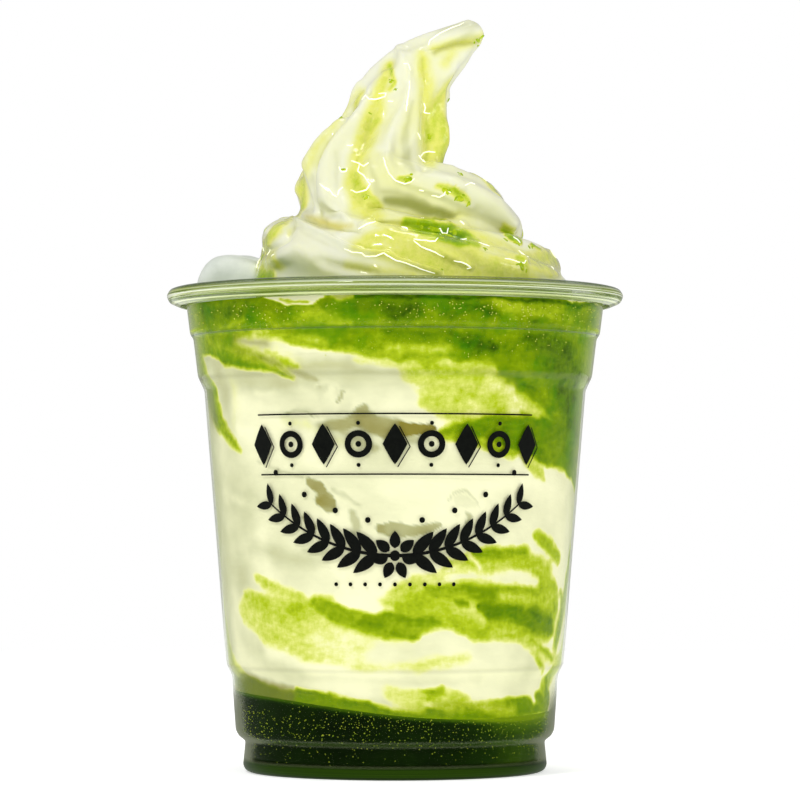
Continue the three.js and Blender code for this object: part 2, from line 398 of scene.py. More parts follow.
def makeCup():
    sheet, half = cup["sheet"], cup["lipSheet"] / 2
    inner = [(r - sheet, z) for r, z in cup["wall"][1:]]
    outline = cup["under"] + cup["wall"] + lipSide(-half) + lipSide(half)[::-1]
    outline += inner[::-1] + cup["inside"]
    piece = turned("clear_cup", rounded(outline, cup["soft"]), cup["steps"])
    shadeSmooth(piece, 40)
    finish = Finish("clear plastic")
    facing = finish.node("ShaderNodeLayerWeight", {}, {"Blend": 0.5}, out="Facing")
    height = finish.height()
    edge = finish.smoothed(facing, 0.6, 0.86) + facing**6 * 0.6
    rim = finish.smoothed(height, 99.7, 100)
    foot = 1 - finish.smoothed(height, 2.2, 3.2)
    # The rim's fine lines are painted: pale ones as highlights, green ones as the syrup seen through it
    level = finish.grain(finish.stretched(finish.place(), (0.003, 0.003, 1)), 0.34, 1, 0.6)
    lines = finish.smoothed(level, 0.38, 0.62)
    share = cup["clearShare"] + edge * cup["edgeShare"]
    share = share + rim * (lines * cup["lineShare"] + cup["rimShare"])
    low = finish.smoothed(height, 13, 20)
    high = finish.smoothed(height, 82, 86)
    share = share + edge * high * cup["highEdge"]
    tint = finish.blended(high, linear(cup["tint"]), linear((168, 184, 112)))
    stops = [(0, (92, 118, 4)), (0.4, (152, 172, 46)), (0.75, (190, 203, 108)), (1, (226, 234, 198))]
    # and a dark olive line is painted along the rim's top
    lip = finish.smoothed(height, 102.4, 103)
    rimTint = finish.blended(lip, finish.ramp(lines, stops), linear((74, 98, 14)))
    tint = finish.blended(rim, tint, rimTint)
    # Painted highlight and shade lines along the ledges and round the rim
    for ledge, half, strength, colour in cup["lightAndShadeLines"]:
        near = finish.smoothed(height, ledge - half, ledge)
        near = near * (1 - finish.smoothed(height, ledge, ledge + half))
        share = share + near * strength
        tint = finish.blended(near, tint, linear(colour))
    rough = 0.04 + level * 0.08
    plastic = finish.surface(Base_Color=tint, Roughness=rough, Specular_IOR_Level=0.26)
    clear = finish.node("ShaderNodeBsdfTransparent")
    wall = finish.node("ShaderNodeMixShader", {}, {0: share, 1: clear, 2: plastic})
    deep = finish.ramp(level, [(0.3, (22, 42, 2)), (0.7, (40, 66, 4))])
    deep = finish.blended(foot, linear((90, 97, 68)), deep)
    foot = foot + finish.smoothed(facing, 0.58, 0.8) * (1 - low) * cup["lowEdge"]
    darkFoot = finish.surface(Base_Color=deep, Roughness=0.4, Specular_IOR_Level=0.03)
    paintOver(piece, finish.done(finish.node("ShaderNodeMixShader", {}, {0: foot, 1: wall, 2: darkFoot})))
    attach(piece, "root")
    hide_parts("cup")
    print("cup made")


filling = {
    "columns": 480,
    "rowStep": 0.5,
    "reach": 0.2,  # how far the filling goes into the wall
    "overlap": 0.05,  # and one layer into the next
    "floor": 2.2,
    "level": 99,
    "meniscus": 0.75,  # how far the syrup climbs the wall
    "discRings": 30,
    "darkTop": {"middle": 15.7, "tilt": 3, "lowSide": 53, "ripple": 0.5, "ripples": 3, "phase": 20},
    "creamTop": {"middle": 80, "tilt": 11, "lowSide": 105, "ripple": 3.5, "ripples": 3, "phase": 45},
    "radius": 41,  # one degree round the cup is worked out as this radius
}

# Where bright green syrup ends and cream begins, by angle and height
greenEdge = [
    (-180, 84), (-150, 90), (-120, 86), (-90, 89), (-70, 88.6), (-55, 86.6), (-50, 88.5),
    (-46, 92.4), (-41, 93.2), (-34, 91.7), (-28, 90.1), (-21, 88.8), (-15, 88.2), (-5, 86.7),
    (1, 85.4), (8, 86.5), (20, 86), (30, 84), (38, 80.5), (44, 72), (53, 66), (62, 65.6),
    (79, 64.5), (100, 70), (125, 82), (150, 78), (180, 84),
]

# Strokes of syrup and shade on the filling. Each has what it paints, how much, how soft its
# edge is, and its path as angle, height and half width.
strokes = [
    # painted shade: the cream greyer towards the left and right edges, where less light falls
    ("shade", 0.5, 14, [(-95, 22, 16), (-92, 60, 17), (-95, 90, 16)]),
    ("shade", 0.4, 12, [(95, 30, 8), (92, 60, 8)]),
    ("shade", 0.42, 9, [(-62, 74, 5), (-58, 56, 6), (-60, 40, 4)]),
    ("shade", 0.36, 6, [(-62, 30, 3), (-46, 25, 2.5), (-34, 23, 1.5)]),
    # greyer cream and shade at the upper left
    ("shade", 0.42, 6, [(-61, 82.6, 2.4), (-40, 81.2, 2.4), (-10, 81.2, 2.4), (10, 81.5, 1.5)]),
    ("shade", 0.46, 1.8, [
        (-60, 83.4, 0.5), (-32, 83.1, 0.4), (-16.0, 82.9, 0.3), (2.8, 83.1, 0.2),
    ]),
    ("shade", 0.4, 1.8, [(0.0, 83.1, 0.2), (10.9, 83.3, 0.2)]),
    ("shade", 0.68, 1.0, [(-31, 84.9, 0.7), (-28, 83.8, 0.9), (-24, 82.5, 0.7), (-23, 80.9, 0.3)]),
    # a tongue of cream and the shadow round it
    ("shade", 0.36, 2.2, [
        (-35, 75.3, 1.0), (-29, 73.9, 1.6), (-22, 72.0, 1.3), (-13.5, 69.4, 1.3),
        (-8.5, 67.8, 0.8),
    ]),
    ("shade", 0.6, 0.5, [(-34, 76.1, 0.4), (-30, 76.4, 0.3), (-27, 75.8, 0.3), (-25, 75.2, 0.3)]),
    ("shade", 0.27, 1.6, [(-46, 79.9, 0.5), (-38, 79.3, 1.6), (-30, 78.9, 2.2), (-26, 78.3, 2.2)]),
    ("shade", 0.3, 0.9, [
        (-24, 81.3, 0.4), (-21, 81.7, 0.3), (-17.8, 81.5, 0.3), (-15.9, 80.5, 0.3),
    ]),
    ("shade", 0.27, 1.0, [(-19.0, 80.1, 1.0), (-19.5, 77.7, 1.6), (-20, 75.7, 1.3)]),
    ("shade", 0.34, 1.4, [(-14.0, 79.0, 1.3), (-15.2, 76.4, 1.0), (-17.2, 75.1, 0.4)]),
    ("shade", 0.7, 0.3, [(-15.1, 80.1, 0.3), (-15.7, 79.0, 0.3), (-16.5, 78.0, 0.3)]),
    # the brown ice behind it
    ("shade", 0.78, 0.5, [
        (-23, 73.1, 0.4), (-18.1, 73.3, 0.9), (-13.4, 73.8, 1.3), (-9.5, 75.1, 1.8),
        (-8.7, 76.6, 0.9),
    ]),
    ("shade", 0.72, 0.5, [
        (-9.5, 75.1, 1.8), (-5.0, 73.5, 2.1), (-0.1, 72.5, 2.4), (3.0, 71.9, 2.1),
    ]),
    ("shade", 0.5, 1.2, [(-16.6, 72.0, 0.5), (-11.1, 70.4, 0.9), (-6.9, 68.8, 1.0)]),
    ("shade", 1.2, 0.6, [(-3.9, 73.8, 0.5), (-0.9, 73.2, 0.9), (2.9, 73.0, 1.2)]),
    ("shade", 1.2, 0.6, [(0.0, 73.0, 1.2), (3.8, 72.6, 1.2), (8.3, 72.3, 1.2), (11.4, 72.5, 0.8)]),
    ("shade", 0.5, 1.0, [(1.1, 70.4, 0.7), (6.8, 69.9, 0.8), (9.9, 70.4, 0.5)]),
    ("shade", 0.16, 2.4, [(-54, 72.9, 1.3), (-39, 70.0, 1.6), (-21, 66.0, 2.6), (-1.3, 61.5, 2.4)]),
    ("shade", 0.16, 2.4, [(0.0, 60.5, 1.8), (11.7, 61.5, 2.4), (28, 61.8, 2.4), (49, 61.6, 1.3)]),
    # the fold below, and ice sunk in it
    ("shade", 0.36, 0.7, [(-47, 66.1, 0.3), (-42, 64.7, 0.4), (-35, 63.6, 0.4), (-29, 62.3, 0.3)]),
    ("shade", 0.22, 1.0, [(-42, 63.7, 0.4), (-36, 60.8, 0.5), (-31, 57.6, 0.4)]),
    ("shade", 0.76, 0.4, [(-27, 61.5, 0.7), (-24, 60.2, 1.3), (-23, 58.4, 1.6), (-21, 57.1, 2.1)]),
    ("shade", 0.84, 0.5, [(-23, 57.6, 1.3), (-19.2, 56.8, 1.0)]),
    ("shade", 0.4, 0.8, [(-19.5, 59.7, 0.3), (-14.7, 58.2, 0.4), (-10.3, 56.8, 0.3)]),
    ("shade", 0.3, 2.0, [(-62, 58.0, 0.8), (-48, 57.1, 0.8), (-38, 56.3, 0.5)]),
    ("shade", 0.8, 0.5, [(-28, 54.5, 0.8), (-27, 52.6, 0.8), (-28, 50.8, 0.4)]),
    ("shade", 0.56, 1.0, [(-12.7, 55.2, 0.8), (-12.4, 52.6, 1.0), (-13.7, 51.0, 0.5)]),
    ("shade", 0.78, 0.4, [(-4.0, 51.8, 1.0), (-0.5, 51.4, 1.5), (3.1, 51.4, 1.6)]),
    ("shade", 0.7, 0.4, [(0.0, 51.6, 1.6), (5.9, 51.4, 1.3), (11.5, 52.1, 0.8), (13.9, 52.6, 0.4)]),
    ("shade", 0.4, 1.4, [(-29, 47.9, 0.5), (-23, 47.1, 0.6), (-17.5, 47.6, 0.4)]),
    ("shade", 0.44, 0.5, [
        (16.6, 57.6, 0.3), (18.6, 59.0, 0.3), (22, 59.6, 0.3), (25, 58.7, 0.3), (27, 56.9, 0.3),
    ]),
    ("shade", 0.36, 0.8, [(19.5, 57.6, 1.0), (22, 57.6, 1.3), (25, 57.1, 0.8)]),
    ("shade", 0.62, 0.5, [(22, 55.2, 0.5), (23, 54.4, 1.0), (23, 53.4, 0.8)]),
    ("shade", 0.3, 1.2, [(29, 55.0, 0.8), (31, 53.9, 0.8)]),
    ("shade", 0.45, 4, [(-52, 48, 1.5), (-34, 45.5, 1.5), (-22, 46, 1)]),
    # the green that hangs down the left
    ("syrup", 0.78, 1.6, [(-56, 88.5, 3.2), (-45, 87.2, 2.0), (-38, 85.6, 1.3), (-32, 83, 0.3)]),
    ("syrup", 0.3, 4, [(-47, 91, 1), (-37, 88, 1.6), (-28, 86, 1)]),
    ("syrup", 0.68, 1.4, [(-38, 88.6, 0.5), (-33, 86.8, 1.1), (-29, 85.4, 0.5)]),
    # marbled green and cream at the upper right
    ("syrup", 0.42, 3, [(4, 83.5, 1.5), (12, 82.4, 3.6), (22, 81, 4.6), (30, 80, 4), (34, 79, 3)]),
    ("syrup", 0.42, 3, [(10, 78.5, 1.6), (18, 76.5, 3), (26, 76.3, 2.6)]),
    ("syrup", 0.55, 2, [(8, 85.5, 1), (18, 84.2, 1.2), (28, 81.8, 0.8)]),
    ("syrup", 0.5, 2, [(20, 79.6, 0.8), (28, 78.2, 1.2), (34, 76.8, 1.0)]),
    ("syrup", 0.3, 3, [(28, 82, 1.3), (33, 81.2, 1.6), (37, 79.6, 1.2)]),
    ("syrup", 0.28, 3, [(24, 77, 1), (27, 74.6, 1)]),
    ("syrup", 0.3, 3, [(40, 78, 1.6), (50, 74.5, 1.4), (60, 71, 1.2)]),
    ("syrup", 0.82, 2, [(15, 71.6, 1), (22, 72.4, 2.2), (32, 72.6, 3.4), (44, 71, 4.6), (58, 70, 5)]),
    ("syrup", 0.62, 2, [(14, 70.9, 0.5), (20, 70.6, 0.8), (28, 68.8, 1.2), (38, 67.2, 1.0)]),
    ("syrup", 0.4, 1.6, [(44, 66.5, 1.6), (50, 64.2, 1.4), (53, 62.6, 0.6)]),
    ("syrup", 0.82, 2, [(62, 68, 4), (74, 66, 4), (82, 63, 3)]),
    ("syrup", 0.05, 2, [(60, 62.5, 2), (66, 61, 3), (72, 60, 2)]),
    # deep and light places in the bright syrup
    ("syrup", 0.95, 7, [(40, 92, 2), (56, 86, 5), (66, 80, 5), (74, 72, 4)]),
    ("shade", 0.45, 8, [(46, 90, 3), (60, 84, 5), (72, 76, 4)]),
    # the upper left, where the green thins into cream
    ("shade", 0.5, 5, [(-71, 87.8, 1.2), (-57, 85.7, 1.2), (-44, 84.2, 1.2), (-34, 81.5, 0.8)]),
    ("shade", 0.66, 6, [(-27, 85.5, 1.6), (-15.3, 85.0, 1.6), (1.4, 83.3, 1.2)]),
    ("shade", 0.5, 4, [(-90, 83.2, 1.2), (-54, 82.3, 0.8), (-35, 82.4, 0.4)]),
    ("syrup", 0.12, 4, [
        (-49, 90.9, 0.8), (-39, 90.3, 1.2), (-31, 87.6, 1.2), (-24, 85.9, 1.2), (-15.3, 85.4, 1.2),
    ]),
    ("shade", 0.74, 4, [(-51, 91.0, 1.2), (-39, 90.3, 1.2)]),
    ("syrup", 0.46, 3, [
        (-51, 88.9, 0.6), (-43, 87.7, 0.8), (-37, 86.5, 1.1), (-33, 84.8, 0.6), (-31, 83.1, 0.2),
    ]),
    ("shade", 0.74, 3, [
        (-51, 88.9, 0.6), (-43, 87.7, 0.8), (-37, 86.5, 1.1), (-33, 84.8, 0.6), (-31, 83.1, 0.2),
    ]),
    ("syrup", 0.6, 5, [(-67, 91.5, 1.1), (-55, 89.4, 1.1), (-45, 87.1, 0.6)]),
    ("shade", 0.5, 5, [(-67, 91.5, 0.8), (-55, 89.4, 1.1), (-45, 87.1, 0.8)]),
    ("syrup", 0.8, 2.4, [(-90, 86.2, 0.5), (-74, 83.2, 0.8), (-69, 80.5, 0.9)]),
    ("syrup", 0.3, 2.4, [(-11.8, 86.4, 0.4), (-3.9, 85.8, 0.7), (1.4, 84.9, 0.6)]),
    # light and deep places in the bright syrup, above the first ledge
    ("syrup", 0.84, 3, [(-68, 98.7, 1.6), (-53, 96.9, 2.1), (-42, 96.5, 1.6)]),
    ("syrup", 0.6, 2, [(-52, 93.9, 0.4), (-45, 95.0, 0.6), (-43, 98.2, 0.4)]),
    ("syrup", 0.92, 2, [(-43, 98.6, 0.8), (-43, 95.3, 0.7)]),
    ("syrup", 0.86, 2, [(-34, 96.3, 0.7), (-30, 96.2, 1.0)]),
    ("syrup", 0.64, 3, [(-27, 96.2, 1.2), (-20, 95.6, 1.6), (-14.7, 93.9, 1.2)]),
    ("syrup", 0.54, 2, [(-17.5, 93.8, 0.3), (-11.9, 93.5, 0.3)]),
    ("syrup", 0.9, 3, [(-11.2, 96.8, 1.2), (-4.7, 97.5, 1.6), (1.3, 96.3, 2.1)]),
    ("syrup", 0.93, 3, [(-1.3, 96.7, 1.6), (4.0, 96.7, 2.1), (7.2, 96.7, 1.2)]),
    ("syrup", 0.7, 2, [(9.4, 95.9, 0.8), (12.1, 96.0, 0.8)]),
    ("syrup", 0.88, 3, [(14.9, 96.4, 1.6), (19.4, 96.9, 1.6)]),
    ("syrup", 0.93, 2, [(22, 97.3, 1.0), (26, 96.2, 1.0), (29, 95.4, 0.6)]),
    ("syrup", 0.6, 2.4, [(28, 97.8, 0.7), (34, 97.5, 1.2), (39, 97.3, 1.0)]),
    ("syrup", 0.68, 3, [(42, 97.4, 1.2), (53, 96.9, 1.6), (57, 95.3, 1.2)]),
    ("syrup", 0.92, 2, [(41, 94.8, 0.8), (44, 95.3, 0.7)]),
    ("syrup", 0.85, 3, [(64, 96.0, 1.2), (79, 96.1, 1.2)]),
    # and below it
    ("syrup", 0.7, 3, [(-64, 92.6, 0.8), (-53, 92.3, 0.8), (-45, 92.5, 0.6)]),
    ("syrup", 0.56, 2.4, [
        (-42, 92.4, 0.6), (-33, 91.8, 1.0), (-24, 90.8, 1.0), (-19.7, 90.3, 0.7),
    ]),
    ("syrup", 0.76, 3, [(-16.1, 91.5, 0.8), (-9.3, 91.1, 1.2), (1.4, 90.6, 1.6)]),
    ("syrup", 0.62, 2.4, [(-15.1, 88.7, 0.4), (-6.6, 87.8, 0.7), (1.4, 86.6, 0.8)]),
    ("syrup", 0.86, 3, [(-1.4, 91.9, 1.0), (6.9, 91.9, 1.0), (15.3, 91.5, 1.1)]),
    ("syrup", 0.96, 3, [(17.1, 90.7, 1.1), (24, 89.6, 1.6), (30, 88.5, 1.2)]),
    ("syrup", 0.82, 3, [(34, 90.2, 1.6), (40, 88.6, 1.6)]),
    ("syrup", 0.9, 3, [(46, 90.4, 2.1), (56, 87.4, 2.5), (65, 82.5, 2.1)]),
    ("syrup", 0.54, 2.4, [(-1.4, 88.6, 0.8), (6.4, 88.6, 1.1), (13.1, 88.7, 0.8)]),
    ("syrup", 0.62, 2, [(2.0, 86.4, 0.7), (9.8, 86.2, 0.7), (13.2, 86.6, 0.4)]),
    ("syrup", 0.42, 3, [(13.3, 85.4, 0.6), (22, 85.1, 0.8), (29, 83.9, 0.4)]),
    ("shade", 0.55, 3, [(22, 84.6, 0.8), (28, 83.9, 0.8), (39, 81.2, 1.0)]),
    ("syrup", 0.9, 3, [(32, 84.0, 0.8), (38, 82.8, 0.6), (46, 80.5, 1.2)]),
    # the dark line at the level, the swirl's foot against the wall and the foam at the right
    ("syrup", 0.98, 0.6, [
        (-81, 100.3, 0.1), (-60, 100.1, 0.1), (-45, 100.1, 0.2), (-39, 99.6, 0.1),
    ]),
    ("syrup", 1.0, 0.8, [(-10.4, 99.0, 0.3), (-4.7, 99.1, 0.3), (1.3, 99.2, 0.4)]),
    ("syrup", 1.0, 0.8, [
        (-1.3, 99.1, 0.4), (12.0, 99.1, 0.4), (26, 99.3, 0.4), (39, 99.3, 0.4), (54, 98.9, 0.3),
        (79, 99.2, 0.3),
    ]),
    ("syrup", 0.06, 0.5, [
        (-37, 99.9, 0.6), (-32, 99.4, 1.1), (-27, 99.0, 1.3), (-23, 98.9, 1.2), (-20, 99.5, 0.5),
    ]),
    ("syrup", 0.6, 0.8, [(-32, 99.1, 0.2), (-28, 98.6, 0.3), (-24, 98.5, 0.2)]),
    ("shade", 0.3, 0.8, [(-37, 99.9, 0.6), (-30, 99.3, 0.8), (-25, 99.0, 0.8), (-20, 99.5, 0.4)]),
    ("syrup", 0.3, 1.2, [(-17.2, 99.7, 0.4), (-14.4, 99.0, 0.7), (-11.7, 99.4, 0.6)]),
    ("shade", 0.6, 1.2, [(-17.2, 99.7, 0.4), (-14.4, 99.0, 0.7), (-11.7, 99.4, 0.6)]),
    ("syrup", 0.03, 0.4, [
        (53, 100.0, 0.2), (57, 99.8, 0.3), (59, 100.4, 0.2), (63, 100.1, 0.3), (69, 99.9, 0.3),
        (79, 99.8, 0.2),
    ]),
    # the olive edge over the dark syrup at the left
    ("syrup", 0.6, 2.4, [(-90, 25.3, 0.9), (-90, 22.2, 0.9), (-75, 20.3, 0.9)]),
    ("shade", 0.85, 2.4, [(-90, 23.5, 0.9), (-79, 19.8, 1.3), (-57, 18.7, 1.0), (-43, 18.4, 0.7)]),
    ("shade", 0.55, 1.6, [
        (-45, 19.6, 0.3), (-34, 18.4, 0.3), (-21, 17.0, 0.3), (-11.7, 15.7, 0.2),
    ]),
    # the lower green band
    ("syrup", 0.36, 3, [(-60, 35, 2.6), (-46, 32, 4.4), (-30, 30, 5.2), (-14, 29.6, 4.4), (0, 31, 3)]),
    ("syrup", 0.5, 3, [(-58, 38, 1.4), (-48, 36, 2.2), (-34, 35, 2.4), (-22, 36, 2.2)]),
    ("syrup", 0.74, 2.0, [(-3, 33, 2.4), (8, 32.6, 1.8), (18, 33.6, 1.6)]),
    ("syrup", 0.56, 2.4, [(2, 36.5, 2), (14, 36.5, 3), (28, 34, 5), (42, 34.5, 6), (60, 35, 7)]),
    ("syrup", 0.8, 3, [(10, 40, 0.8), (22, 39.4, 1.4), (36, 38.6, 2), (50, 37.4, 2)]),
    ("syrup", 0.84, 2.5, [(30, 35.5, 2.0), (40, 35, 1.8), (54, 33, 2.6), (64, 31, 2)]),
    ("syrup", 0.52, 3, [(18, 44.6, 1.2), (30, 44.6, 2.4), (44, 45, 2.2), (58, 43, 3)]),
    ("syrup", 0.74, 2.4, [(24, 46.6, 1), (34, 46.8, 1.6), (46, 47, 1.2)]),
    ("syrup", 0.6, 1.8, [(52, 50.4, 1.6), (60, 48.4, 2), (66, 45.6, 1.6)]),
    ("syrup", 0.1, 1.4, [(34, 41.4, 0.8), (44, 41.6, 1.4), (52, 41, 0.8)]),
    ("syrup", 0.1, 1.4, [(23, 47, 0.4), (28, 43.4, 0.5)]),
    ("syrup", 0.3, 2.4, [(6, 41.6, 1), (14, 42.4, 1.6), (20, 44, 1.2)]),
    ("syrup", 0.3, 2.4, [(20, 36.4, 1), (26, 35.4, 1.4), (30, 33, 1.2)]),
    ("syrup", 0.18, 2.5, [(-20, 31, 1.2), (-8, 28.4, 1.6), (4, 27.4, 1)]),
    ("syrup", 0.28, 3, [(-28, 25.6, 1), (-12, 23.4, 1), (8, 24, 1.4), (24, 25.6, 1.2)]),
    ("syrup", 0.7, 2.5, [(70, 28, 2), (78, 36, 3), (84, 46, 2.5)]),
    ("syrup", 0.55, 2, [(52, 27, 0.6), (58, 24, 0.8), (62, 21.5, 0.5)]),
    # green seeping up over the dark syrup
    ("syrup", 0.78, 1.6, [(-95, 22, 2), (-71, 19.2, 2.2), (-54, 17.8, 2.0), (-35, 16.2, 1.6), (-19, 14.9, 1.4)]),
    ("syrup", 0.78, 1.6, [(-19, 14.9, 1.4), (8, 13.6, 1.2), (22, 13.8, 1.8), (40, 14.2, 2.4), (70, 15.6, 2.6)]),
    ("shade", 0.95, 3, [(-80, 19.6, 3), (-54, 18, 2.6), (-30, 16, 1.4)]),
    ("shade", 0.45, 3, [(-36, 16.4, 1.6), (-10, 14.6, 1.6), (20, 14.6, 2)]),
    ("syrup", 0.46, 2.4, [(-90, 42, 2), (-84, 32, 3), (-78, 24, 3), (-66, 21, 1)]),
    ("shade", 0.6, 3, [(-92, 42, 3), (-84, 30, 4), (-74, 22, 2)]),
    ("syrup", 0.42, 2, [(-2, 18, 0.8), (8, 17, 1.6), (18, 18.4, 1.4), (26, 17.2, 0.8)]),
    ("syrup", 0.66, 1.6, [(12, 17, 0.5), (16, 19.4, 0.7)]),
    ("shade", 0.34, 2.5, [(-34, 21.6, 0.5), (0, 20.6, 0.3), (30, 21, 0.3)]),
    ("syrup", 0.6, 2.5, [(66, 19, 2), (80, 24, 2.4), (86, 30, 2)]),
    # the marbling and the foot at the lower right
    ("syrup", 0.48, 2.4, [(36, 38.0, 1.1), (51, 37.7, 1.2)]),
    ("syrup", 0.86, 1.6, [(20, 36.7, 0.6), (23, 36.4, 0.6)]),
    ("syrup", 0.86, 1.6, [(28, 36.0, 0.7), (35, 34.3, 0.7)]),
    ("syrup", 0.86, 1.6, [(51, 32.4, 0.7), (63, 31.5, 0.9)]),
    ("syrup", 0.4, 3, [(49, 28.2, 1.2), (62, 25.2, 1.5), (90, 22.5, 0.8)]),
    ("syrup", 0.68, 2, [(52, 28.9, 0.5), (59, 26.7, 0.5), (68, 24.4, 0.5)]),
    ("syrup", 0.6, 2.4, [(71, 38.4, 0.9), (90, 31.0, 0.9), (90, 23.9, 0.8)]),
    ("syrup", 0.06, 1.6, [(51, 18.9, 1.1), (57, 18.0, 1.6), (59, 15.9, 0.8)]),
    ("syrup", 0.76, 2.4, [(68, 20.2, 0.7), (71, 15.9, 0.9), (70, 11.8, 1.2)]),
    ("syrup", 0.4, 3, [(1.7, 17.0, 1.2), (8.6, 16.3, 1.6)]),
    ("syrup", 0.72, 2, [(8.5, 18.7, 0.5), (14.3, 18.7, 0.6)]),
    ("syrup", 0.5, 3, [(15.6, 16.2, 1.2), (31, 15.3, 1.1), (46, 14.3, 0.8)]),
    ("shade", 0.5, 3, [(15.6, 16.2, 1.2), (31, 15.3, 1.1), (46, 14.3, 0.8)]),
    # the drip at the left and the yellow and brown places
    ("syrup", 0.16, 8, [(-56, 82.6, 1.6), (-56, 77.6, 2.1), (-58, 73.5, 1.2)]),
    ("shade", 0.55, 6, [(-62, 85, 2), (-62, 79, 2.5), (-60, 74, 1.5)]),
    ("syrup", 0.66, 2.6, [
        (-90, 92, 7), (-82, 85, 6), (-75, 80, 4.6), (-70, 76, 3.2), (-64, 72.6, 1.8),
        (-56, 68.6, 0.6),
    ]),
    ("shade", 0.75, 4, [(-90, 88, 7), (-80, 80, 5), (-72, 75, 2)]),
    ("syrup", 0.15, 4, [(-35, 74.4, 1.2), (-28, 73.5, 1.6), (-22, 71.0, 1.0), (-11.8, 68.5, 0.8)]),
    ("shade", 0.42, 2, [(-32, 76.4, 0.3), (-27, 76.4, 0.3), (-23, 75.5, 0.2)]),
    ("shade", 0.72, 2, [(-23, 73.3, 0.8), (-15.4, 73.2, 1.2), (-8.6, 75.5, 1.5)]),
    ("shade", 0.8, 2, [(-8.7, 74.2, 2.1), (-0.7, 73.0, 1.9)]),
    # veins and streaks of the lower band at the left
    ("syrup", 0.42, 2.4, [(-51, 41.7, 0.8), (-42, 39.4, 1.5), (-32, 37.9, 0.8)]),
    ("syrup", 0.42, 3, [(-3.0, 37.3, 1.2), (2.1, 39.0, 2.1), (6.0, 40.2, 2.1)]),
    ("syrup", 0.18, 4, [(-28, 29.8, 2.1), (-18.5, 26.9, 2.5), (-9.0, 24.9, 2.1)]),
    ("syrup", 0.34, 2, [(-36, 29.7, 0.4), (-29, 31.0, 0.6), (-25, 33.1, 0.6), (-23, 31.5, 0.4)]),
    ("syrup", 0.07, 4, [(-5.0, 26.2, 2.5), (4.2, 26.2, 2.1)]),
    ("syrup", 0.72, 1.6, [
        (-27, 37, 1.2), (-20, 35, 2.0), (-12.8, 33.6, 2.2), (-2.4, 31.4, 2.3), (5.8, 30.6, 1.8),
    ]),
    # the green over the dark syrup at the left
    ("shade", 0.12, 4, [(-46, 27, 2), (-25, 23.4, 1.6), (0, 22, 1)]),
    ("syrup", 0.82, 1.4, [
        (-37, 18.4, 0.8), (-29, 17.4, 0.7), (-21, 16.7, 0.7), (-13.8, 15.8, 0.6),
        (-6.7, 14.9, 0.5),
    ]),
    ("syrup", 0.3, 4, [(-3.2, 18.2, 1.2), (2.3, 17.4, 1.6), (6.5, 17.0, 1.6)]),
    # round the back
    ("syrup", 0.75, 3, [(110, 66, 4), (132, 60, 5), (152, 52, 4), (170, 47, 2)]),
    ("syrup", 0.4, 4, [(120, 58, 3), (145, 50, 3), (166, 43, 2)]),
    ("syrup", 0.72, 3, [(96, 38, 6), (120, 32, 5), (150, 30, 4), (180, 33, 5), (212, 36, 5), (240, 34, 4), (262, 30, 2)]),
    ("syrup", 0.34, 4, [(110, 27, 2), (160, 25, 2.5), (215, 28, 3), (250, 27, 2)]),
    ("syrup", 0.74, 3, [(196, 80, 5), (214, 73, 4), (228, 64, 3), (238, 57, 1)]),
    ("syrup", 0.36, 4, [(180, 74, 3), (200, 66, 3), (214, 58, 2)]),
    ("shade", 0.7, 3, [(176, 60, 2), (186, 57, 4), (196, 58, 2)]),
    ("shade", 0.5, 4, [(228, 48, 1.5), (250, 46, 1.5)]),
    ("syrup", 0.78, 2, [(90, 17.5, 2), (130, 18.5, 2), (180, 19.5, 2.2), (230, 20.5, 2), (266, 20.5, 2)]),
]


def wallRadius(heights):
    radii, levels = zip(*cup["wall"])
    return np.interp(heights, levels, radii)


# The inner face of the wall and of its corner with the base, reached into a little
def fillingRadius(heights):
    corner = [(r, z) for r, z in cup["inside"][1::-1]]
    side = [(r - cup["sheet"], z) for r, z in cup["wall"][1:]]
    radii, levels = zip(*(corner + side))
    return np.interp(heights, levels, radii) + filling["reach"]


# A tilted and rippled border between two layers. angles are in degrees, shares of the radius.
def borderHeight(border, angles, shares):
    lean = np.radians(angles - border["lowSide"])
    ripple = border["ripple"] * np.sin(border["ripples"] * lean + math.radians(border["phase"]))
    return border["middle"] - shares * border["tilt"] * np.cos(lean) + shares**2 * ripple


def angleOf(spots):
    return np.degrees(np.arctan2(spots[:, 0], -spots[:, 1]))


# How much a stroke covers each place of a flat sheet
def covered(sheet, path, soft):
    cover = np.zeros(len(sheet))
    stops = [(np.array(stop[:2], float), stop[2]) for stop in path]
    for (a, wideA), (b, wideB) in zip(stops, stops[1:]):
        along = np.clip((sheet - a) @ (b - a) / ((b - a) @ (b - a)), 0, 1)
        gap = np.linalg.norm(sheet - a - along[:, None] * (b - a), axis=1)
        wide = wideA + (wideB - wideA) * along
        cover = np.maximum(cover, eased((wide - gap) / soft + 0.5))
    return cover


# The wall unrolled: millimetres round it and height, with ragged wanderings
def unrolled(spots):
    perDegree = math.radians(1) * filling["radius"]
    side = angleOf(spots) * perDegree + 0.9 * noiseAt(spots, 7, 3, 1) + 0.4 * noiseAt(spots, 2, 2, 2)
    height = spots[:, 2] + 0.7 * noiseAt(spots, 8, 3, 3) + 0.3 * noiseAt(spots, 2, 2, 4)
    return side, height, perDegree


def paintFilling(piece):
    spots = spotsOf(piece)
    side, height, perDegree = unrolled(spots)
    angles, edges = zip(*greenEdge)
    edge = np.interp(side / perDegree, angles, edges)
    fields = {"syrup": 0.76 * eased((height - edge) / 1.6 + 0.5), "shade": np.full(len(spots), 0.22)}
    for kind, strength, soft, path in strokes:
        middle = sum(stop[0] for stop in path) / len(path) * perDegree
        near = side + np.round((middle - side) / (360 * perDegree)) * 360 * perDegree
        sheet = np.stack([near, height], 1)
        scaled = [(angle * perDegree, level, wide) for angle, level, wide in path]
        cover = covered(sheet, scaled, soft)
        fields[kind] = fields[kind] * (1 - cover) + strength * cover
    for kind, values in fields.items():
        giveField(piece, kind, values)


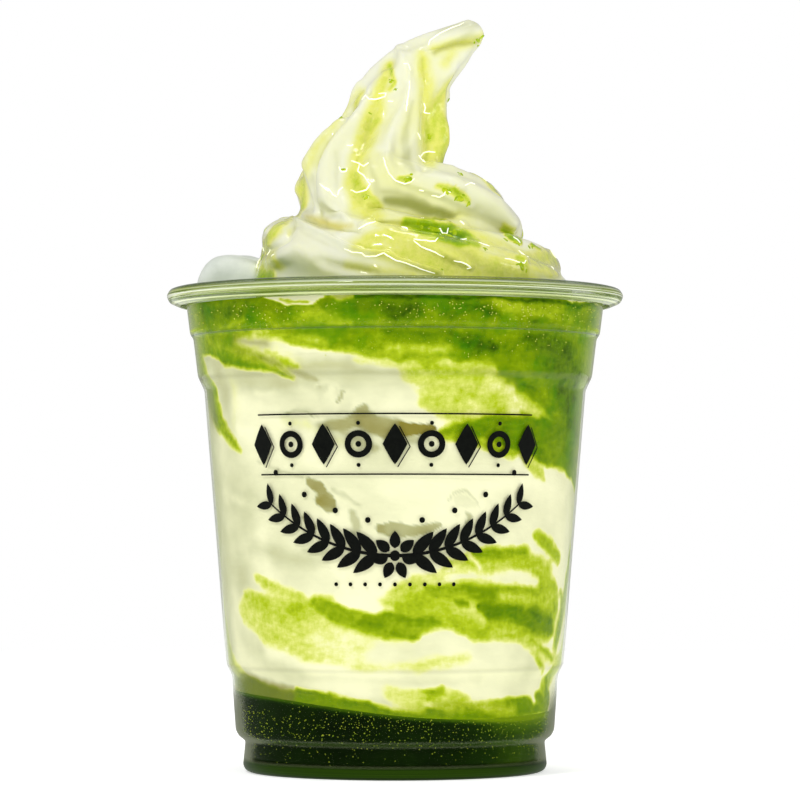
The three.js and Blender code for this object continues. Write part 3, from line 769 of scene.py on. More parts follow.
# One layer: a turned block whose rows are then set between its two borders
def makeLayer(name, node, low, high, rings):
    depth, wide = 100, 40
    tallest = {"dark_syrup": 18, "soft_serve": 80, "bright_syrup": 34}[node]
    rows = round(tallest / filling["rowStep"])
    bottom = [(wide * share, 0) for share in np.linspace(0, 1, 9)[:-1] ** 0.8]
    sideRows = [(wide, depth * row / rows) for row in range(rows + 1)]
    top = [(wide * share, depth) for share in np.linspace(1, 0, rings + 1)[1:] ** 0.8]
    piece = turned(name, bottom + sideRows + top, filling["columns"])
    spots = spotsOf(piece)
    share = np.hypot(spots[:, 0], spots[:, 1]) / wide
    angles = angleOf(spots)
    level = spots[:, 2] / depth
    lowest, highest = low(angles, share), high(angles, share)
    height = lowest + (highest - lowest) * level
    radius = share * fillingRadius(height)
    lean = np.radians(angles)
    made = np.stack([radius * np.sin(lean), -radius * np.cos(lean), height], 1)
    moveSpots(piece, made)
    shadeSmooth(piece, 50)
    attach(piece, "root")
    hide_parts(node)
    return piece


creamStops = [
    (0.0, (252, 251, 210)),
    (0.2, (238, 238, 197)),
    (0.42, (208, 210, 168)),
    (0.7, (174, 174, 122)),
    (0.95, (136, 128, 52)),
]
syrupStops = [
    (0.0, (246, 245, 204)),
    (0.16, (234, 236, 152)),
    (0.36, (207, 216, 98)),
    (0.54, (174, 194, 30)),
    (0.74, (126, 154, 0)),
    (0.88, (92, 128, 0)),
    (1.0, (50, 82, 0)),
]


# Cream with syrup marbled into it, as it shows through the wall
def marbledFinish(name):
    finish = Finish(name)
    where = finish.place()
    along = finish.stretched(where, (1, 1, 1.7))
    syrup, shade = finish.field("syrup"), finish.field("shade")
    cloud = finish.grain(along, 7, 3) - 0.5
    pulp = finish.grain(along, 2.2, 5, 0.65) - 0.5
    fibre = finish.grain(finish.stretched(where, (1, 1, 0.45)), 1.0, 3, 0.6) - 0.5
    wet = finish.smoothed(syrup, 0.02, 0.4)
    mixed = syrup + wet * (cloud * 0.44 + pulp * 0.56 + fibre * 0.26) * (1.25 - syrup * 0.7)
    greens = finish.ramp(mixed, syrupStops)
    thick = finish.smoothed(syrup, 0.5, 0.8)
    cold = finish.smoothed(finish.grain(where, 8, 4, 0.6), 0.46, 0.62) * thick
    cold = cold * (finish.smoothed(finish.height(), 55, 85) * 0.36 + 0.12)
    greens = finish.blended(cold, greens, linear((58, 130, 0)))
    wide = finish.grain(where, 16, 2) - 0.5
    softer = shade + wide * 0.55 + cloud * 0.16 + pulp * 0.05
    creams = finish.ramp(softer, creamStops)
    dull = finish.blended(finish.smoothed(shade, 0.3, 0.9) * 0.8, greens, linear((104, 112, 46)))
    tint = finish.blended(finish.smoothed(mixed, 0.02, 0.28), creams, dull)
    rough = 0.42 - wet * 0.12
    relief = finish.bump(cloud + pulp * 0.4, 0.5, 0.6)
    return finish.done(
        finish.surface(
            Base_Color=tint, Roughness=rough, Normal=relief, Specular_IOR_Level=0.03
        )
    )


def darkFinish():
    finish = Finish("dark syrup")
    where = finish.place()
    depth = finish.field("glow")
    cloud = finish.grain(where, 9, 3) - 0.5
    fine = finish.grain(where, 0.7, 3) - 0.5
    stops = [(0, (3, 14, 0)), (0.35, (20, 44, 0)), (0.65, (62, 92, 4)), (1, (112, 140, 6))]
    tint = finish.ramp(depth + cloud * 0.22 + fine * 0.2, stops)
    return finish.done(finish.surface(Base_Color=tint, Roughness=0.4, Specular_IOR_Level=0.02))


def makeFilling():
    dark, cream = filling["darkTop"], filling["creamTop"]
    over = filling["overlap"]

    def darkEdge(angles, share):
        return borderHeight(dark, angles, share)

    def creamEdge(angles, share):
        return borderHeight(cream, angles, share)

    def base(angles, share):
        return np.full(len(angles), filling["floor"])

    def surface(angles, share):
        return filling["level"] + filling["meniscus"] * eased((share - 0.975) / 0.025) + angles * 0

    syrupLayer = makeLayer("dark_syrup_fill", "dark_syrup", base, darkEdge, 8)
    spots = spotsOf(syrupLayer)
    angles = angleOf(spots)
    depth = darkEdge(angles, 1) - spots[:, 2]
    # How light the dark syrup is: lighter on the front half, most towards the right, and lighter just under its
    # top where it thins, with a painted highlight along the foot's ledge at 7.4 mm and lighter at the very
    # bottom
    near = eased((170 - abs(angles)) / 70)
    glow = 0.08 + near * (0.38 * eased((angles - 12) / 44) + 0.12 * eased((-angles - 30) / 50))
    glow += 0.55 * eased(1 - depth / 1.4) + 0.12 * eased((3.8 - spots[:, 2]) / 1.6)
    glow += 0.12 * eased(1 - abs(spots[:, 2] - 7.4) / 0.9)
    glow += 0.4 * near * eased((angles - 18) / 30) * eased((spots[:, 2] - 8) / 5)
    giveField(syrupLayer, "glow", glow)
    paintOver(syrupLayer, darkFinish())

    creamLayer = makeLayer(
        "soft_serve_fill", "soft_serve", lambda a, s: darkEdge(a, s) - over, creamEdge, 8
    )
    paintFilling(creamLayer)
    paintOver(creamLayer, marbledFinish("soft serve"))

    rings = filling["discRings"]
    greenLayer = makeLayer(
        "bright_syrup_fill", "bright_syrup", lambda a, s: creamEdge(a, s) - over, surface, rings
    )
    paintFilling(greenLayer)
    paintOver(greenLayer, marbledFinish("bright syrup"))
    print("filling made")


swirl = {
    "voxel": 0.41,
    "smoothing": 20,
    "viewDistance": 811,
    "glazeDepth": 0.2,
    "lumps": 0.14,
    "hollowSmoothing": 80,  # hollows are found against a copy smoothed this often
    "hollowGlaze": 0.13,  # how much syrup and shade gather in a hollow
    "hollowShade": 0.65,
    "underShade": 0.34,
}

# Strokes on the swirl as seen from a side, by its angle. Each has what it does, how much,
# how soft its edge is, and its path as side, height and half width.
swirlStrokes = {
    0: [
        # the finger at the tip and the fold under it
        ("lift", -1.5, 1.5, [
            (6.9, 155.9, 0.3), (11.1, 156.3, 0.5), (15.3, 157.4, 0.5), (18.3, 157.5, 0.3),
        ]),
        ("lift", 0.7, 2.4, [(8.6, 157.9, 0.4), (12.6, 159.4, 0.5), (16.6, 160.1, 0.4)]),
        ("lift", 0.6, 2.4, [(8.2, 153.9, 0.4), (11.1, 152.5, 0.4)]),
        ("lift", -0.6, 2.0, [(6.2, 156.9, 0.2), (5.7, 152.9, 0.4), (6.2, 149.0, 0.4)]),
        # the leftmost lobe and the crease beside it
        ("lift", -1.7, 1.3, [
            (-5.7, 146.5, 0.2), (-7.4, 143.6, 0.2), (-11.1, 139.1, 0.4), (-14.6, 135.6, 0.5),
            (-17.1, 131.2, 0.5), (-18.1, 126.3, 0.5), (-17.9, 122.3, 0.4), (-15.6, 118.8, 0.3),
        ]),
        ("lift", 1.0, 2.6, [
            (-7.7, 148.0, 0.3), (-12.1, 141.1, 0.6), (-17.1, 134.7, 0.8), (-20.0, 129.7, 0.8),
            (-21.0, 124.8, 0.7),
        ]),
        # the main lobe at the left, its channel, and the ridge right of that
        ("lift", 1.7, 2.8, [
            (-6.7, 144.5, 0.5), (-11.6, 138.1, 1.1), (-14.3, 133.2, 1.3), (-15.1, 128.2, 1.4),
            (-14.3, 123.3, 1.2), (-11.1, 118.8, 0.5),
        ]),
        ("lift", -1.7, 3.2, [
            (-1.0, 152.5, 0.4), (-2.7, 147.0, 0.7), (-4.7, 142.1, 1.1), (-6.7, 136.1, 1.3),
            (-8.4, 131.2, 1.3), (-9.1, 126.3, 1.1), (-7.7, 122.3, 0.7),
        ]),
        ("lift", 2.1, 2.8, [
            (1.2, 155.2, 0.6), (2.5, 151.0, 0.5), (3.0, 147.0, 0.4), (2.0, 142.6, 0.4),
            (-0.3, 138.1, 0.6), (-1.7, 134.7, 0.7), (-2.0, 131.2, 0.6), (0.2, 127.7, 0.4),
            (5.2, 125.8, 0.3), (11.1, 123.8, 0.3), (16.1, 121.3, 0.2),
        ]),
        ("lift", -1.5, 3.0, [
            (6.2, 153.4, 0.4), (6.7, 148.5, 0.9), (6.9, 143.6, 1.0), (7.2, 138.1, 1.2),
            (7.4, 133.2, 1.1), (6.2, 129.7, 0.5),
        ]),
        ("lift", 1.0, 2.8, [
            (12.6, 151.5, 0.4), (10.1, 147.0, 0.4), (10.4, 141.1, 0.5), (11.1, 135.2, 0.5),
            (12.6, 130.7, 0.4),
        ]),
        # the crease over the second tier
        ("lift", -3.0, 2.4, [
            (-5.7, 121.3, 0.4), (-1.2, 122.3, 0.9), (3.2, 121.6, 1.2), (8.2, 120.1, 1.0),
            (13.1, 119.1, 0.5),
        ]),
        ("lift", 1.7, 3.2, [
            (6.2, 127.7, 0.6), (11.1, 126.8, 0.9), (16.1, 124.8, 1.2), (21.5, 121.8, 1.3),
            (25.0, 117.9, 1.0),
        ]),
        ("lift", -0.9, 2.2, [(14.1, 119.8, 0.4), (19.0, 118.3, 0.5), (23.5, 115.9, 0.4)]),
        # the second tier's lower edge
        ("lift", 1.7, 1.5, [
            (-7.7, 117.1, 0.2), (-3.7, 118.8, 0.3), (0.7, 118.8, 0.3), (6.2, 118.1, 0.3),
            (12.6, 118.6, 0.3), (15.1, 117.6, 0.2),
        ]),
        ("lift", -0.7, 2.0, [(1.2, 117.1, 0.5), (8.6, 115.9, 0.7), (15.1, 114.9, 0.6)]),
        ("lift", 1.3, 1.6, [
            (4.4, 114.1, 0.2), (8.6, 111.9, 0.3), (13.6, 109.9, 0.3), (16.3, 108.5, 0.2),
        ]),
        ("lift", -0.8, 3.0, [(18.5, 112.4, 0.5), (25.9, 110.9, 0.7), (31.9, 109.0, 0.5)]),
        # the lowest tier, its ridge and the lump at the left
        ("lift", -2.2, 1.6, [
            (-22.2, 120.1, 0.2), (-19.0, 118.8, 0.4), (-15.1, 117.6, 0.5), (-10.6, 117.1, 0.5),
            (-7.7, 116.4, 0.3),
        ]),
        ("lift", 2.3, 1.8, [
            (-21.3, 118.6, 0.3), (-19.0, 116.9, 0.4), (-15.1, 115.1, 0.5), (-11.1, 112.7, 0.5),
            (-6.7, 111.0, 0.4), (-2.2, 111.0, 0.3), (1.2, 109.4, 0.3), (9.1, 107.0, 0.3),
        ]),
        ("lift", 1.2, 3.6, [(-26.0, 109.9, 1.0), (-21.0, 112.4, 1.3), (-17.1, 110.4, 1.2)]),
        ("lift", -1.2, 2.4, [(-16.1, 109.9, 0.4), (-11.1, 108.5, 0.7), (-5.7, 107.5, 0.7)]),
        ("lift", -1.4, 1.8, [
            (-21.6, 118.3, 0.3), (-23.2, 114.4, 0.4), (-26.4, 112.2, 0.4), (-29.2, 110.9, 0.2),
        ]),
        ("lift", 0.8, 2.4, [(-27.4, 115.9, 0.7), (-24.5, 117.4, 0.7)]),
        # thin syrup, pale and wide
        ("glaze", 0.2, 8, [
            (6.2, 152.9, 3.0), (7.2, 145.0, 3.5), (-3.7, 135.2, 5.4), (-1.7, 123.8, 7.9),
            (11.1, 112.4, 9.9),
        ]),
        ("glaze", 0.03, 3, [
            (1.2, 154.7, 1.3), (3.2, 147.0, 0.7), (0.7, 141.1, 1.1), (-2.2, 134.2, 1.5),
        ]),
        ("glaze", 0.06, 3, [
            (-10.1, 140.1, 1.2), (-13.6, 134.2, 1.7), (-15.1, 128.2, 1.7), (-14.1, 123.3, 1.5),
        ]),
        ("glaze", 0.05, 3, [(-21.0, 115.4, 1.5), (-19.5, 111.4, 2.5), (-13.6, 108.5, 2.0)]),
        ("glaze", 0.08, 3, [(11.1, 130.2, 1.5), (21.0, 123.3, 2.5), (24.5, 118.8, 1.5)]),
        ("glaze", 0.3, 3, [
            (-7.7, 147.0, 0.5), (-12.6, 140.1, 1.0), (-17.1, 134.2, 1.4), (-19.8, 129.2, 1.5),
            (-20.8, 124.3, 1.5), (-21.3, 120.8, 1.3),
        ]),
        ("glaze", 0.4, 2.6, [
            (-1.2, 152.2, 1.0), (-3.7, 145.0, 1.7), (-5.7, 138.1, 2.1), (-8.2, 131.7, 2.0),
            (-9.1, 126.3, 2.2), (-7.7, 122.3, 2.5), (-3.7, 119.3, 1.5),
        ]),
        ("glaze", 0.36, 2.4, [
            (5.7, 154.4, 1.0), (6.7, 148.5, 1.4), (6.9, 143.1, 1.9), (7.4, 137.6, 2.3),
            (7.7, 132.2, 2.3),
        ]),
        ("glaze", 0.3, 2.4, [(12.6, 154.4, 1.0), (11.1, 152.5, 1.3)]),
        ("glaze", 0.4, 2.8, [
            (-5.7, 114.4, 1.2), (-1.7, 115.4, 1.8), (4.2, 113.4, 2.5), (11.1, 110.9, 2.8),
            (19.0, 109.0, 2.8), (25.9, 107.0, 2.5),
        ]),
        ("glaze", 0.36, 2.8, [
            (14.1, 116.4, 1.0), (21.0, 113.4, 1.7), (27.9, 109.9, 2.0), (34.8, 107.0, 1.2),
        ]),
        ("glaze", 0.34, 2.0, [(-3.7, 117.4, 0.5), (2.2, 118.1, 0.8), (10.1, 117.6, 0.7)]),
        ("glaze", 0.5, 1.6, [
            (-22.7, 118.8, 0.5), (-25.5, 116.4, 1.1), (-27.9, 113.4, 1.2), (-28.9, 111.4, 0.6),
        ]),
        ("glaze", 0.34, 2.4, [(-10.1, 109.0, 1.0), (-3.7, 107.5, 1.2), (4.2, 106.7, 0.8)]),
        # thicker and greener
        ("glaze", 0.62, 1.2, [(-1.0, 151.7, 0.4), (-0.2, 148.5, 0.4), (-1.2, 146.5, 0.3)]),
        ("glaze", 0.5, 2.0, [(-5.7, 138.1, 0.8), (-3.7, 140.1, 0.5)]),
        ("glaze", 0.52, 2.0, [(-8.7, 127.7, 0.8), (-6.7, 123.8, 1.1), (-3.7, 121.8, 0.5)]),
        ("glaze", 0.66, 1.4, [(7.1, 137.6, 0.6), (7.2, 136.1, 1.0)]),
        ("glaze", 0.78, 1.3, [
            (2.4, 117.8, 1.0), (6.2, 117.0, 1.9), (10.1, 116.0, 2.3), (13.8, 114.6, 2.0),
            (17.0, 113.4, 0.8),
        ]),
        ("glaze", 0.9, 1.2, [(6.6, 116.8, 0.8), (10.8, 115.8, 1.5), (13.8, 114.6, 1.1)]),
        ("glaze", 1.0, 0.9, [(8.6, 116.2, 0.4), (11.5, 115.3, 0.9), (13.4, 114.5, 0.5)]),
        ("glaze", 0.66, 1.2, [(15.3, 114.1, 0.6), (18.0, 112.8, 0.5)]),
        ("glaze", 0.6, 1.4, [
            (9.2, 125.5, 0.5), (11.6, 125.2, 1.0), (14.1, 123.8, 1.1), (15.6, 122.3, 0.6),
        ]),
        ("glaze", 0.74, 0.7, [(13.1, 125.5, 0.5), (13.8, 124.0, 0.5)]),
        ("glaze", 0.56, 0.8, [(1.2, 127.5, 0.6), (3.2, 127.5, 0.8)]),
        ("glaze", 0.8, 0.9, [(23.0, 116.4, 0.5), (25.0, 114.9, 0.9), (26.9, 113.9, 0.6)]),
        ("glaze", 0.85, 0.7, [(29.2, 112.9, 0.3), (31.4, 111.9, 0.3)]),
        ("glaze", 0.6, 1.0, [(26.9, 109.9, 1.1), (28.2, 108.0, 0.8)]),
        ("glaze", 0.6, 1.2, [(23.5, 117.1, 0.7), (25.5, 116.4, 0.5)]),
        # olive shade in the creases
        ("shade", 1.0, 1.8, [
            (-2.2, 123.0, 0.7), (2.2, 122.1, 1.3), (7.2, 120.6, 1.0), (12.1, 119.3, 0.5),
        ]),
        ("shade", 0.55, 3.0, [(-3.7, 124.8, 0.8), (0.7, 124.3, 1.1), (6.2, 122.3, 0.7)]),
        ("shade", 0.6, 1.6, [(8.6, 154.7, 0.5), (13.6, 156.4, 0.6), (18.0, 157.3, 0.4)]),
        ("shade", 0.4, 1.6, [
            (3.6, 144.1, 0.4), (3.0, 140.1, 0.7), (2.0, 136.1, 1.1), (2.5, 131.2, 1.2),
            (4.2, 129.2, 0.7),
        ]),
        ("shade", 0.45, 2.4, [(-14.6, 109.4, 0.5), (-9.6, 108.5, 1.0), (-3.7, 107.2, 0.7)]),
        ("shade", 0.4, 3.0, [(16.6, 121.3, 1.0), (21.0, 118.3, 0.8), (25.5, 116.4, 0.5)]),
        ("shade", 0.35, 3.0, [(10.1, 113.9, 1.0), (17.0, 110.4, 1.0)]),
        ("shade", 0.4, 2.4, [
            (-17.7, 128.2, 0.4), (-17.3, 123.8, 0.6), (-15.1, 120.3, 1.0), (-11.6, 119.1, 0.6),
        ]),
        ("shade", 0.3, 2.4, [(-12.6, 133.2, 0.5), (-12.4, 129.2, 0.7), (-12.6, 125.3, 0.5)]),
        ("shade", 0.35, 2, [(-5.7, 131.2, 0.5), (-4.2, 126.8, 1.0), (-3.7, 123.3, 0.7)]),
        ("shade", 0.45, 4, [(10, 160.0, 1), (16, 160.5, 1.4), (20, 162, 1)]),
        ("glaze", 0.36, 2.4, [(9, 155.4, 1.2), (14, 156.6, 1.4), (19, 158.2, 1.0)]),
        ("glaze", 0.42, 4, [(-8, 113, 1.5), (6, 110, 3), (20, 107, 3), (30, 105.5, 2)]),
        ("glaze", 0.8, 1.4, [(-31.5, 107.5, 1.4), (-29.4, 108.6, 1.6), (-27.6, 106.5, 1.4)]),
        ("warm", 0.9, 2.0, [
            (-19.0, 119.3, 0.4), (-16.1, 118.1, 0.9), (-12.1, 117.1, 0.8), (-9.6, 117.1, 0.4),
        ]),
        ("glaze", 0.6, 1.6, [(-29.3, 110.4, 0.6), (-28.2, 108.0, 1.1), (-26.4, 106.5, 0.7)]),
    ],
    180: [
        ("glaze", 0.5, 3, [(-2, 150, 1), (3, 140, 2), (8, 128, 2), (10, 118, 2)]),
        ("glaze", 0.45, 3, [(-24, 112, 2), (-8, 109, 3), (10, 112, 2.5), (22, 108, 2)]),
        ("glaze", 0.8, 1.4, [(-14, 117, 0.8), (-8, 115, 1.5), (-4, 113.4, 0.8)]),
        ("glaze", 0.75, 1.4, [(6, 128.5, 0.6), (9, 125, 1.0)]),
        ("shade", 0.5, 2.5, [(-8, 121, 0.6), (2, 119.5, 1.2), (10, 117, 0.6)]),
    ],
    90: [
        ("lift", 1.0, 4.0, [(-1, 161.2, 0.8), (1.5, 159.2, 0.8)]),
        ("glaze", 0.5, 3, [(-3, 150, 1), (-5, 138, 1.6), (-4, 126, 2)]),
        ("glaze", 0.45, 3, [(-18, 110, 2), (0, 113, 2.5), (16, 109, 2)]),
        ("glaze", 0.85, 1.2, [(2, 118.4, 0.8), (8, 116, 1.2)]),
    ],
    270: [
        # a skirt of syrup over the ice
        ("lift", 3.0, 5.0, [(-3, 104.5, 2.5), (9, 104, 3)]),
        ("glaze", 0.78, 3.0, [(-7, 105.5, 3), (12, 105.5, 4)]),
        ("glaze", 0.5, 3, [(4, 146, 1), (8, 134, 2), (6, 122, 2)]),
        ("glaze", 0.45, 3, [(-20, 108, 2), (0, 112, 3), (18, 110, 2)]),
        ("glaze", 0.8, 1.2, [(-6, 125, 0.8), (-3, 122, 1.0)]),
    ],
}

swirlStops = [
    (0.0, (243, 244, 218)),
    (0.14, (240, 241, 194)),
    (0.4, (235, 236, 118)),
    (0.6, (198, 216, 44)),
    (0.8, (146, 182, 0)),
    (1.0, (92, 138, 0)),
]


# Where spots are as seen from a side, and how far each is towards that side
def seenFrom(spots, side):
    lean = math.radians(side)
    outward = spots[:, 0] * math.sin(lean) - spots[:, 1] * math.cos(lean)
    across = spots[:, 0] * math.cos(lean) + spots[:, 1] * math.sin(lean)
    distance, eye = swirl["viewDistance"], studio["cameraPlace"][2]
    nearer = distance / (distance - outward)
    return np.stack([across * nearer, eye + (spots[:, 2] - eye) * nearer], 1)


def strokeSwirl(spots, normals, kinds):
    fields = {kind: np.zeros(len(spots)) for kind in kinds}
    wander = np.stack([noiseAt(spots, 5, 2, 5), noiseAt(spots, 5, 2, 6)], 1) * 0.5
    for side, sideStrokes in swirlStrokes.items():
        lean = math.radians(side)
        facing = eased((normals @ np.array([math.sin(lean), -math.cos(lean), 0]) + 0.05) / 0.35)
        sheet = seenFrom(spots, side)
        for kind, strength, soft, path in sideStrokes:
            if kind not in kinds:
                continue
            drift = 0 if kind == "lift" else wander
            cover = covered(sheet + drift, path, soft) * facing
            if kind == "lift":
                fields[kind] += strength * cover
            else:
                fields[kind] = fields[kind] * (1 - cover) + strength * cover
    return fields


def swirlFinish():
    finish = Finish("swirl of soft serve")
    where = finish.place()
    glaze, shade, warm = (finish.field(kind) for kind in ("glaze", "shade", "warm"))
    cloud = finish.grain(where, 4, 3) - 0.5
    fibre = finish.grain(where, 1.1, 4, 0.65) - 0.5
    wet = finish.smoothed(glaze, 0.1, 0.5)
    amount = glaze + wet * (cloud * 0.3 + fibre * 0.3)
    tint = finish.ramp(amount, swirlStops)
    tint = finish.blended(finish.smoothed(shade, 0, 1) * 0.9, tint, linear((150, 156, 70)))
    tint = finish.blended(warm * 0.85, tint, linear((222, 212, 88)))
    rough = 0.34 - wet * 0.24
    fine = finish.grain(where, 0.5, 2) - 0.5
    relief = finish.bump(fibre * (wet * 1.6) + fine * 0.14, 0.2, 0.8)
    return finish.done(
        finish.surface(
            Base_Color=tint,
            Roughness=rough,
            Subsurface_Weight=0.2,
            Subsurface_Radius=(0.0012, 0.0012, 0.0005),
            Coat_Roughness=0.02,
            Coat_IOR=1.32,
            Coat_Weight=0.3 + wet * 0.7,
            Specular_IOR_Level=0.1,
            Normal=relief,
        )
    )


# A copy of a CAD node, in small even faces
def softCopy(node, name, voxel, smoothing):
    selectOnly()
    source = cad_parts[node]
    piece = bpy.data.objects.new(name, source.data.copy())
    piece.data.name = name
    bpy.context.scene.collection.objects.link(piece)
    selectOnly(piece)
    bpy.ops.object.mode_set(mode="EDIT")
    bpy.ops.mesh.select_all(action="SELECT")
    bpy.ops.mesh.remove_doubles(threshold=0.005 * mm)
    bpy.ops.object.mode_set(mode="OBJECT")
    applyModifier(piece, "REMESH", mode="VOXEL", voxel_size=voxel * mm)
    applyModifier(piece, "SMOOTH", factor=0.5, iterations=smoothing)
    shadeSmooth(piece)
    return piece


# How far each place lies below a smoother copy of the piece
def hollowsOf(piece, spots, normals):
    smoother = piece.copy()
    smoother.data = piece.data.copy()
    bpy.context.scene.collection.objects.link(smoother)
    applyModifier(smoother, "SMOOTH", factor=0.5, iterations=swirl["hollowSmoothing"])
    depth = ((spotsOf(smoother) - spots) * normals).sum(1)
    bpy.data.objects.remove(smoother)
    return depth


def makeSwirl():
    piece = softCopy("swirl", "cream_swirl", swirl["voxel"], swirl["smoothing"])
    spots, normals = spotsOf(piece), normalsOf(piece)
    lift = strokeSwirl(spots, normals, ("lift",))["lift"]
    moveSpots(piece, spots + normals * lift[:, None])
    applyModifier(piece, "SMOOTH", factor=0.5, iterations=9)
    spots, normals = spotsOf(piece), normalsOf(piece)
    hollow = hollowsOf(piece, spots, normals)
    fields = strokeSwirl(spots, normals, ("glaze", "shade", "warm"))
    pooled = eased(hollow / 0.9 + 0.3 * noiseAt(spots, 9, 2, 9))
    fields["glaze"] += swirl["hollowGlaze"] * pooled * (1 - fields["glaze"])
    under = eased(0.15 - normals[:, 2]) * swirl["underShade"]
    darker = swirl["hollowShade"] * eased(hollow / 1.5) + under
    fields["shade"] += darker * (1 - fields["shade"])
    fields["shade"] *= 1 - 0.75 * eased((fields["glaze"] - 0.55) / 0.25)
    wet = eased((fields["glaze"] - 0.16) / 0.3)
    lumps = noiseAt(spots, 3.2, 2, 7)
    rise = wet * (swirl["glazeDepth"] + swirl["lumps"] * lumps)
    rise += 0.04 * noiseAt(spots, 7, 2, 8)
    moveSpots(piece, spots + normals * rise[:, None])
    for kind, values in fields.items():
        giveField(piece, kind, values)
    paintOver(piece, swirlFinish())
    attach(piece, "root")
    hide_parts("swirl")
    print("swirl made,", len(piece.data.polygons), "faces")
    return piece


# Many copies of one small shape in one mesh, each with its place and three half sizes, its
# points pushed about. With normals, each lies flat on its own.
def scattered(name, places, sizes, detail, rough, rng, normals=None):
    selectOnly()
    bpy.ops.mesh.primitive_ico_sphere_add(subdivisions=detail, radius=mm)
    model = bpy.context.object
    shape = spotsOf(model)
    faces = np.array([list(face.vertices) for face in model.data.polygons])
    bpy.data.objects.remove(model)
    spots, corners = [], []
    for count, (place, size) in enumerate(zip(places, sizes)):
        made = shape * np.array([1 + rough * rng.uniform(-1, 1) for _ in shape])[:, None]
        if normals is None:
            rotation = Euler([rng.random() * turn for _ in range(3)]).to_matrix()
        else:
            lie = Vector(normals[count]).to_track_quat("Z", "Y").to_matrix()
            rotation = lie @ Euler((0, 0, rng.random() * turn)).to_matrix()
        rotation = np.array(rotation)
        spots.append((made * np.array(size)) @ rotation.T + place)
        corners.append(faces + count * len(shape))
    mesh = bpy.data.meshes.new(name)
    mesh.from_pydata(np.concatenate(spots) * mm, [], np.concatenate(corners))
    piece = bpy.data.objects.new(name, mesh)
    bpy.context.scene.collection.objects.link(piece)
    shadeSmooth(piece)
    return piece


# The raised lips of the wet syrup, painted near white with a little glow as painted highlights,
# so they show as fine lines of light: across and height as seen from the front, and then as many
# short ones round the sides and back
lips = {
    "seed": 8,
    "radius": 0.17,
    "glow": 0.6,
    "wander": 0.12,
    "short": 46,
    "steps": (3, 8),
    "step": 0.45,
}
frontLips = [
    [(-16.3, 126.3), (-15.3, 125.7), (-14.3, 124.8)],
    [(-15.2, 125.7), (-14.2, 125.2), (-13.5, 124.0), (-12.6, 123.5)],
    [(-12.4, 123.8), (-12.1, 124.9), (-11.4, 125.5)],
    [(-9.4, 131.4), (-7.9, 130.8), (-6.7, 130.2), (-5.7, 130.9)],
    [(-7.7, 130.5), (-8.0, 129.1), (-6.8, 128.2), (-6.4, 127.5)],
    [(-6.4, 127.5), (-5.4, 126.3), (-6.2, 125.0), (-8.2, 124.5), (-9.6, 125.0)],
    [(-12.1, 130.0), (-11.6, 128.9), (-10.5, 129.1), (-10.3, 129.8)],
    [(-10.4, 134.7), (-9.6, 134.5), (-9.1, 134.8)],
    [
        (-7.2, 144.5), (-6.4, 145.5), (-5.6, 144.7), (-4.1, 144.7), (-2.2, 145.2), (-1.9, 146.0),
        (-3.6, 145.9),
    ],
    [(-1.5, 144.3), (-0.4, 144.2)],
    [(1.8, 152.4), (2.8, 152.4), (3.4, 151.0)],
    [(3.1, 148.7), (3.1, 147.3), (2.7, 144.5), (2.4, 142.0)],
    [(6.2, 143.8), (6.5, 142.8), (6.2, 141.8), (7.5, 141.6)],
    [(4.9, 137.4), (5.5, 136.0)],
    [(5.4, 132.1), (6.2, 133.1), (7.4, 133.4), (8.7, 133.2)],
    [
        (-2.5, 132.1), (-2.0, 130.2), (-1.2, 128.5), (0.2, 127.0), (2.0, 126.3), (3.4, 126.7),
        (4.2, 127.5),
    ],
    [(5.2, 125.0), (6.2, 124.8)],
    [(7.9, 123.8), (9.6, 123.5), (10.6, 124.0), (10.9, 125.0), (12.0, 124.5)],
    [(15.1, 126.0), (16.3, 126.6), (17.3, 126.3)],
    [
        (-7.9, 116.6), (-6.2, 117.6), (-4.2, 118.2), (-3.4, 118.4), (-4.0, 119.0), (-3.1, 119.6),
        (-0.7, 119.4), (2.2, 118.8), (5.2, 118.4), (8.2, 118.4), (11.1, 118.8), (13.1, 118.6),
    ],
    [(14.0, 118.3), (14.9, 117.6)],
    [(9.1, 116.4), (9.8, 116.7), (10.2, 115.6), (11.2, 115.6), (11.4, 116.7)],
    [(10.6, 115.3), (11.9, 114.8)],
    [(4.0, 114.4), (6.2, 114.1), (8.6, 113.9), (9.2, 114.6)],
    [(4.0, 114.1), (5.7, 112.7), (8.2, 111.7), (10.6, 110.5)],
    [(12.6, 109.7), (14.1, 109.4), (15.3, 109.0), (16.4, 108.2), (15.5, 108.0)],
    [(14.6, 114.4), (14.6, 112.9), (16.1, 112.4), (18.0, 112.4)],
    [(23.7, 110.2), (25.5, 109.9), (26.7, 109.4), (27.9, 109.2), (28.3, 109.9)],
    [
        (-10.9, 112.3), (-9.1, 111.5), (-7.2, 111.4), (-6.4, 110.6), (-4.2, 110.7), (-2.4, 111.4),
        (-1.6, 110.8), (0.2, 109.8), (3.2, 108.9), (6.2, 107.7), (8.6, 107.0),
    ],
    [(7.2, 156.3), (7.5, 157.4), (9.6, 158.9), (12.1, 160.1), (13.9, 160.7), (14.9, 161.3)],
    [(25.5, 114.9), (26.4, 114.4), (27.0, 113.6)],
]


def lipHighlightFinish():
    finish = Finish("lip highlights")
    # Painted highlight: near white, and glowing a little
    cloud = finish.grain(finish.place(), 2, 2)
    tint = finish.ramp(cloud, [(0.35, (246, 248, 206)), (0.65, (254, 254, 240))])
    shine = finish.surface(
        Base_Color=tint, Roughness=0.05, Coat_Weight=1.0, Emission_Strength=lips["glow"],
        Emission_Color=tint,
    )
    return finish.done(shine)


